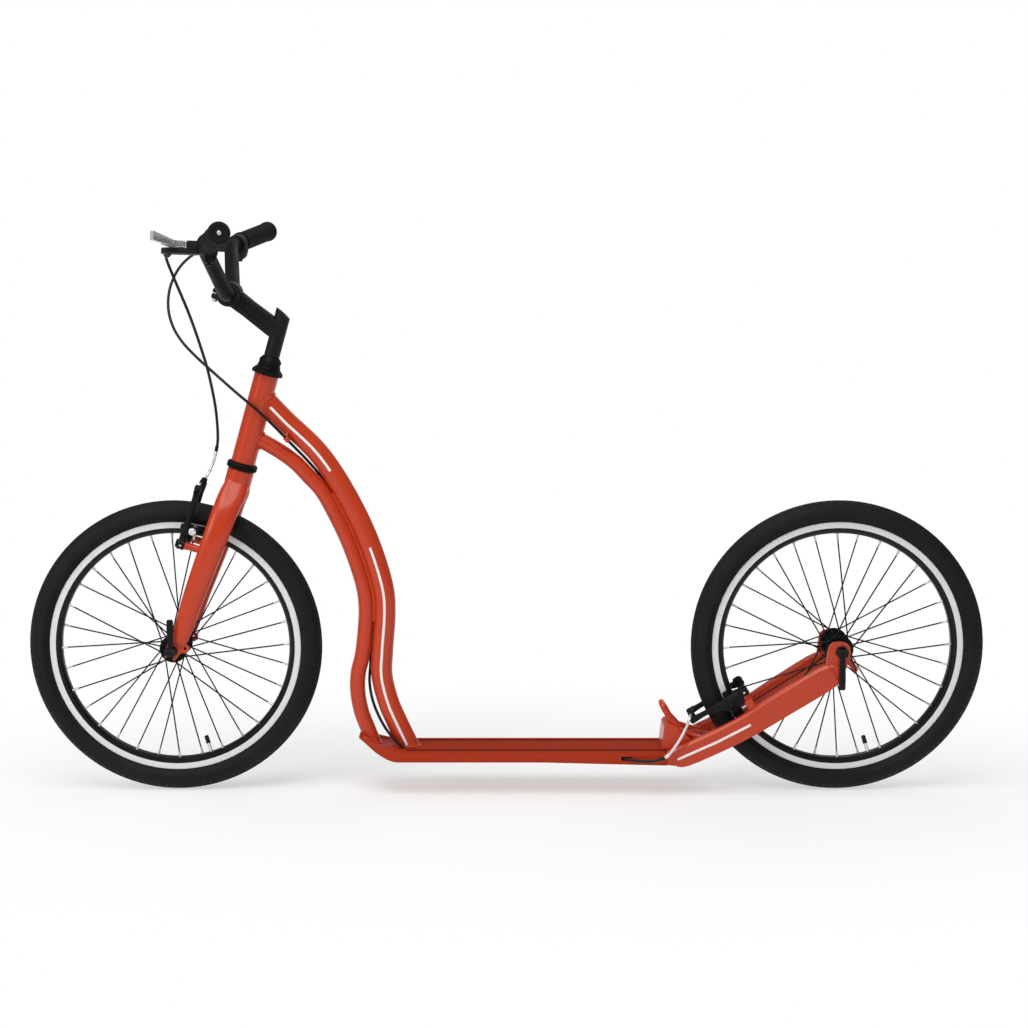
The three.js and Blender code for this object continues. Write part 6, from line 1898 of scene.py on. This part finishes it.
class KICKBIKE_OT_stays(bpy.types.Operator):
    """Rear stays with their dropouts, brake studs, stripe and tail"""

    bl_idname = "kickbike.stays"
    bl_label = "Rear stays"
    tail_y = 58.3
    tail_angle = math.radians(52)
    bridge_room = (33, 51)
    bead_radius = 1.6

    def execute(self, context):
        for side, name, brake_side in ((-1, "left", 1), (1, "right", -1)):
            stay = coat(loft("stay", self.rings(side)), "red_paint")
            size = STAY_DROPOUT_SIZE
            outline = [(AXLE_X + size * a, AXLE_Z + size * b) for a, b in STAY_DROPOUT]
            dropout = dropout_plate("dropout", outline, side, HUB_WIDTHS["rear"])
            axle = Vector((AXLE_X, 0, AXLE_Z))
            drilled(dropout, axle + Y * side * 40, axle + Y * side * 70, AXLE_HOLE_RADIUS)
            parts = [stay, dropout]
            if side > 0:
                parts.append(self.tail(side))
            parts.extend(self.weld(side))
            for part in parts:
                part.data.transform(bike_frame)
            parts.append(self.bridge(brake_side))
            parts.append(brake_boss("rear", brake_side))
            whole = joined(name + "_rear_stay_shell", parts)
            finished(whole, "frame", Matrix.Identity(4), None, [name + "_rear_stay"])
        self.stripes()
        return {"FINISHED"}

    def rings(self, side):
        stations = between_stations(STAY_STATIONS, 3)
        rings = []
        for i, (run, height, depth, flare) in enumerate(stations):
            before, after = stations[max(i - 1, 0)], stations[min(i + 1, len(stations) - 1)]
            tilt = math.atan2((after[1] - before[1]) * STAY_RISE, (after[0] - before[0]) * STAY_RUN)
            if run < -0.05:
                tilt = 0
            y = side * (STAY_FRONT_Y + STAY_FLARE * flare)
            centre = Vector((DECK_REAR + STAY_RUN * run, y, DECK_TOP + STAY_RISE * height))
            upward = Vector((-math.sin(tilt), 0, math.cos(tilt)))
            rings.append(self.section(centre, upward, STAY_RISE * depth * 0.5, STAY_HALF_WIDTH))
        return rings

    def section(self, centre, upward, half_up, half_side):
        """Box section with chamfered upper edges and rounded lower ones."""
        side, c = half_side, min(4.0, half_up * 0.4)
        low, high = -half_up, half_up
        points = (
            (-side + 1.2, low), (side - 1.2, low), (side - 0.3, low + 0.4), (side, low + 1.4),
            (side, high - c), (side - 0.2, high - c + 0.5), (side - c + 0.4, high - 0.3), (side - c, high),
            (-side + c, high), (-side + c - 0.4, high - 0.3), (-side + 0.2, high - c + 0.5),
            (-side, high - c), (-side, low + 1.4), (-side + 0.3, low + 0.4),
        )
        return [centre + Y * a + upward * b for a, b in points]

    def tail(self, side):
        """Blunt arm that leans back and down from the dropout."""
        outline = [(2, -6.4), (66, -5.2), (70.5, -3.4), (71.5, 0), (70.5, 3.4), (66, 5.2), (2, 6.4)]
        tail = plate("tail", outline, -3, 3, 1.0)
        place = Matrix.Translation((AXLE_X, side * self.tail_y, AXLE_Z))
        tail.data.transform(place @ Matrix.Rotation(self.tail_angle, 4, "Y"))
        return coat(tail, "red_paint")

    def weld(self, side):
        """Bead where the stay meets its dropout."""
        ring = self.rings(side)[-5]
        points = []
        for here, following in zip(ring, [*ring[1:], ring[0]]):
            points.extend(here.lerp(following, t / 4) for t in range(4))
        return [weld_bead("bead", points, self.bead_radius)]

    def bridge(self, brake_side):
        """Block that carries a brake stud on its stay, in the brake's frame."""
        low, high = sorted(brake_side * y for y in self.bridge_room)
        block = plate("bridge", rectangle(13.3, -7, 46.3, 7), low, high, 2.2)
        block.data.transform(brake_frames["rear"])
        return coat(block, "red_paint")

    def stripes(self):
        """Plain stripe on the outside of each stay."""
        width = sizes().stripe_width
        first, last = STAY_STRIPE_RUN
        parts = []
        for side in (-1, 1):
            points = []
            for i in range(30):
                share = first + last * i / 29
                low = max(2, next(k for k, s in enumerate(STAY_STATIONS) if s[0] > share) - 1)
                a, b = STAY_STATIONS[low], STAY_STATIONS[low + 1]
                t = (share - a[0]) / (b[0] - a[0])
                height, flare = (a[n] + (b[n] - a[n]) * t for n in (1, 3))
                x, z = DECK_REAR + STAY_RUN * share, DECK_TOP + STAY_RISE * height
                points.append(Vector((x, side * STAY_FLARE * flare, z)))
            parts.append(flat_stripe(points, side * (STAY_FRONT_Y + STAY_HALF_WIDTH - 0.1), width))
        stripes = coat(joined("stay_stripes", parts), "stripe")
        finished(stripes, "frame", bike_frame, None, ())


class KICKBIKE_OT_heel_guard(bpy.types.Operator):
    """Heel guard between the stays: a folded plate and a bent hoop"""

    bl_idname = "kickbike.heel_guard"
    bl_label = "Heel guard"
    start = 259.0
    end = 312.0
    height = 43.0
    half_width, wall = 36.7, 4.0
    hoop_radius, bead_radius = 5.0, 1.2
    hoop_foot = Vector((342, 36.6, 90))
    hoop_side = ((342, 37, 90), (314, 27, 97), (289, 22, 106), (275, 19, 122), (261, 15, 146))

    def execute(self, context):
        floor, top = DECK_TOP, DECK_TOP + self.height
        a, b, t = self.start, self.end, self.wall
        outline = [(a, floor), (a + t, top - t * 1.5), (a + t * 2, top - t * 0.5), (a + t * 4, top),
                   (a + t * 6, top - t), (b, floor + t * 4), (b, floor)]
        block = plate("block", outline, -self.half_width, self.half_width, 1.2)
        inner = [(a + t, floor - 5), (a + t * 2, top - t * 2.5), (a + t * 4.5, top - t * 1.6),
                 (b + 5, floor + t * 2.2), (b + 5, floor - 5)]
        cut(block, plate("hollow", inner, t - self.half_width, self.half_width - t, 0.6))
        side = [Vector(p) for p in self.hoop_side]
        corners = [*side, *[mirrored_point(p) for p in reversed(side)]]
        hoop = tube("hoop", bent_route(corners, 10, 1.5), self.hoop_radius, 6)
        guard = coat(joined("heel_guard_plate", [block, hoop]), "red_paint")
        beads = []
        for foot in (mirrored_point(self.hoop_foot), self.hoop_foot):
            angles = [math.tau * i / 36 for i in range(36)]
            ring = [foot + X * (6.4 * math.cos(u)) + Z * (5.6 * math.sin(u)) for u in angles]
            beads.append(weld_bead("bead", ring, self.bead_radius))
        whole = joined("heel_guard_plate", [guard, *beads])
        finished(whole, "frame", bike_frame, None, ["heel_guard"])
        return {"FINISHED"}


class KICKBIKE_OT_hidden_metal(bpy.types.Operator):
    """Finishes for the small fittings that keep their plain solids"""

    bl_idname = "kickbike.hidden_metal"
    bl_label = "Hidden fittings"

    def execute(self, context):
        coat(frame["nodes"]["stem_wedge"], "steel")
        return {"FINISHED"}


# Studio
class KICKBIKE_OT_studio(bpy.types.Operator):
    """Pale floor, soft lamps and the camera"""

    bl_idname = "kickbike.studio"
    bl_label = "Studio"
    aim = Vector((0, 0, 0.35))
    floor_size = 14
    surroundings = 0.27
    back_share = 0.16
    floor_stretch = (0.62, 1.0, 1.0)
    fade_start, fade_end = 0.22, 0.9

    def execute(self, context):
        studio = context.scene.kick_bike_studio
        deselect()
        bpy.ops.mesh.primitive_plane_add(size=self.floor_size, location=(0, 0, 0))
        floor = context.object
        floor.name = "studio_floor"
        floor.data.materials.append(self.floor_finish())
        for name, place, size, power in (
            ("key_lamp", (-0.6, -1.4, 3.4), 3.2, studio.key_power),
            ("back_lamp", (0.8, 2.6, 2.6), 2.6, studio.key_power * self.back_share),
            ("fill_lamp", (-3.2, -2.6, 2.0), 1.8, studio.fill_power),
        ):
            bpy.ops.object.light_add(type="AREA", location=place)
            lamp = context.object
            lamp.name = name
            lamp.data.shape = "DISK"
            lamp.data.size = size
            lamp.data.energy = power
            lamp.rotation_euler = (self.aim - Vector(place)).to_track_quat("-Z", "Y").to_euler()
        self.world()
        bpy.ops.object.camera_add(location=studio.camera_place)
        camera = context.object
        camera.name = "studio_camera"
        camera.rotation_euler = (math.pi / 2 - studio.camera_pitch, 0, 0)
        camera.data.lens = studio.lens
        camera.data.sensor_width = 36
        camera.data.clip_end = 60
        context.scene.camera = camera
        context.scene.view_settings.view_transform = "Standard"
        return {"FINISHED"}

    def floor_finish(self):
        """White floor that keeps the bike's shadow and fades into the backdrop."""
        material_made, tree, shader = new_material("studio_floor")
        shader.inputs["Roughness"].default_value = 0.85
        shader.inputs["Specular IOR Level"].default_value = 0.1
        coordinates = node(tree, "ShaderNodeTexCoord").outputs["Object"]
        cloud = node(tree, "ShaderNodeTexNoise", {"Vector": coordinates, "Scale": 1.5})
        colour = tuple(finishes().floor)
        tree.links.new(
            mixed(tree, cloud.outputs["Fac"], shade_of(colour, 0.995), shade_of(colour, 1.005)),
            shader.inputs["Base Color"],
        )
        flat = node(tree, "ShaderNodeMapping", {"Vector": coordinates, "Scale": self.floor_stretch})
        away = node(tree, "ShaderNodeVectorMath", {0: flat.outputs[0]}, operation="LENGTH")
        fade = node(
            tree, "ShaderNodeMapRange",
            {
                "Value": away.outputs["Value"], "From Min": self.fade_start, "From Max": self.fade_end,
                "To Min": 0.5, "To Max": 1.0,
            },
            interpolation_type="SMOOTHSTEP",
        )
        rays = node(tree, "ShaderNodeLightPath")
        seen = node(
            tree, "ShaderNodeMath",
            {0: rays.outputs["Is Camera Ray"], 1: rays.outputs["Is Glossy Ray"]}, operation="MAXIMUM",
        )
        share = node(
            tree, "ShaderNodeMath", {0: seen.outputs[0], 1: fade.outputs["Result"]}, operation="MULTIPLY"
        )
        glow = node(tree, "ShaderNodeEmission", {"Color": (1, 1, 1, 1), "Strength": 1.0})
        mix = node(
            tree, "ShaderNodeMixShader",
            {0: share.outputs[0], 1: shader.outputs[0], 2: glow.outputs[0]},
        )
        tree.links.new(mix.outputs[0], tree.nodes["Material Output"].inputs["Surface"])
        return material_made

    def world(self):
        """White surroundings: soft light on the bike, pure white behind it."""
        world = bpy.data.worlds.new("studio_world")
        bpy.context.scene.world = world
        world.use_nodes = True
        tree = world.node_tree
        background = tree.nodes["Background"]
        background.inputs["Color"].default_value = (1, 1, 1, 1)
        background.inputs["Strength"].default_value = self.surroundings
        white = node(tree, "ShaderNodeBackground", {"Color": (1, 1, 1, 1), "Strength": 1.0})
        rays = node(tree, "ShaderNodeLightPath")
        seen = node(
            tree, "ShaderNodeMath",
            {0: rays.outputs["Is Camera Ray"], 1: rays.outputs["Is Transmission Ray"]}, operation="MAXIMUM",
        )
        mix = node(
            tree, "ShaderNodeMixShader",
            {0: seen.outputs[0], 1: background.outputs[0], 2: white.outputs[0]},
        )
        tree.links.new(mix.outputs[0], tree.nodes["World Output"].inputs["Surface"])


class KICKBIKE_PT_panel(bpy.types.Panel):
    """Lists the bike's pieces and the studio"""

    bl_idname = "KICKBIKE_PT_panel"
    bl_label = "Kick bike"
    bl_space_type = "VIEW_3D"
    bl_region_type = "UI"
    bl_category = "Kick bike"

    def draw(self, context):
        layout = self.layout
        for group in (
            context.scene.kick_bike_finishes, context.scene.kick_bike_sizes, context.scene.kick_bike_studio,
        ):
            for name in group.__annotations__:
                layout.prop(group, name)
        for operator in OPERATORS:
            layout.operator(operator.bl_idname)


OPERATORS = (
    KICKBIKE_OT_studio, KICKBIKE_OT_cables, KICKBIKE_OT_tubes, KICKBIKE_OT_headset, KICKBIKE_OT_fork,
    KICKBIKE_OT_stem, KICKBIKE_OT_handlebar, KICKBIKE_OT_levers, KICKBIKE_OT_brakes, KICKBIKE_OT_tyres,
    KICKBIKE_OT_rims, KICKBIKE_OT_spokes, KICKBIKE_OT_hubs, KICKBIKE_OT_footboard, KICKBIKE_OT_stays,
    KICKBIKE_OT_heel_guard, KICKBIKE_OT_hidden_metal,
)
CLASSES = (KickBikeFinishes, KickBikeSizes, KickBikeStudio, *OPERATORS, KICKBIKE_PT_panel)


def register():
    for cls in CLASSES:
        bpy.utils.register_class(cls)
    bpy.types.Scene.kick_bike_finishes = bpy.props.PointerProperty(type=KickBikeFinishes)
    bpy.types.Scene.kick_bike_sizes = bpy.props.PointerProperty(type=KickBikeSizes)
    bpy.types.Scene.kick_bike_studio = bpy.props.PointerProperty(type=KickBikeStudio)


def unregister():
    del bpy.types.Scene.kick_bike_finishes
    del bpy.types.Scene.kick_bike_sizes
    del bpy.types.Scene.kick_bike_studio
    for cls in reversed(CLASSES):
        bpy.utils.unregister_class(cls)


def main():
    register()
    bpy.ops.kickbike.studio()
    bpy.ops.kickbike.cables()
    bpy.ops.kickbike.tubes()
    bpy.ops.kickbike.headset()
    bpy.ops.kickbike.fork()
    bpy.ops.kickbike.stem()
    bpy.ops.kickbike.handlebar()
    bpy.ops.kickbike.levers()
    bpy.ops.kickbike.brakes()
    bpy.ops.kickbike.tyres()
    bpy.ops.kickbike.rims()
    bpy.ops.kickbike.spokes()
    bpy.ops.kickbike.hubs()
    bpy.ops.kickbike.footboard()
    bpy.ops.kickbike.stays()
    bpy.ops.kickbike.heel_guard()
    bpy.ops.kickbike.hidden_metal()


if __name__ == "__main__":
    main()
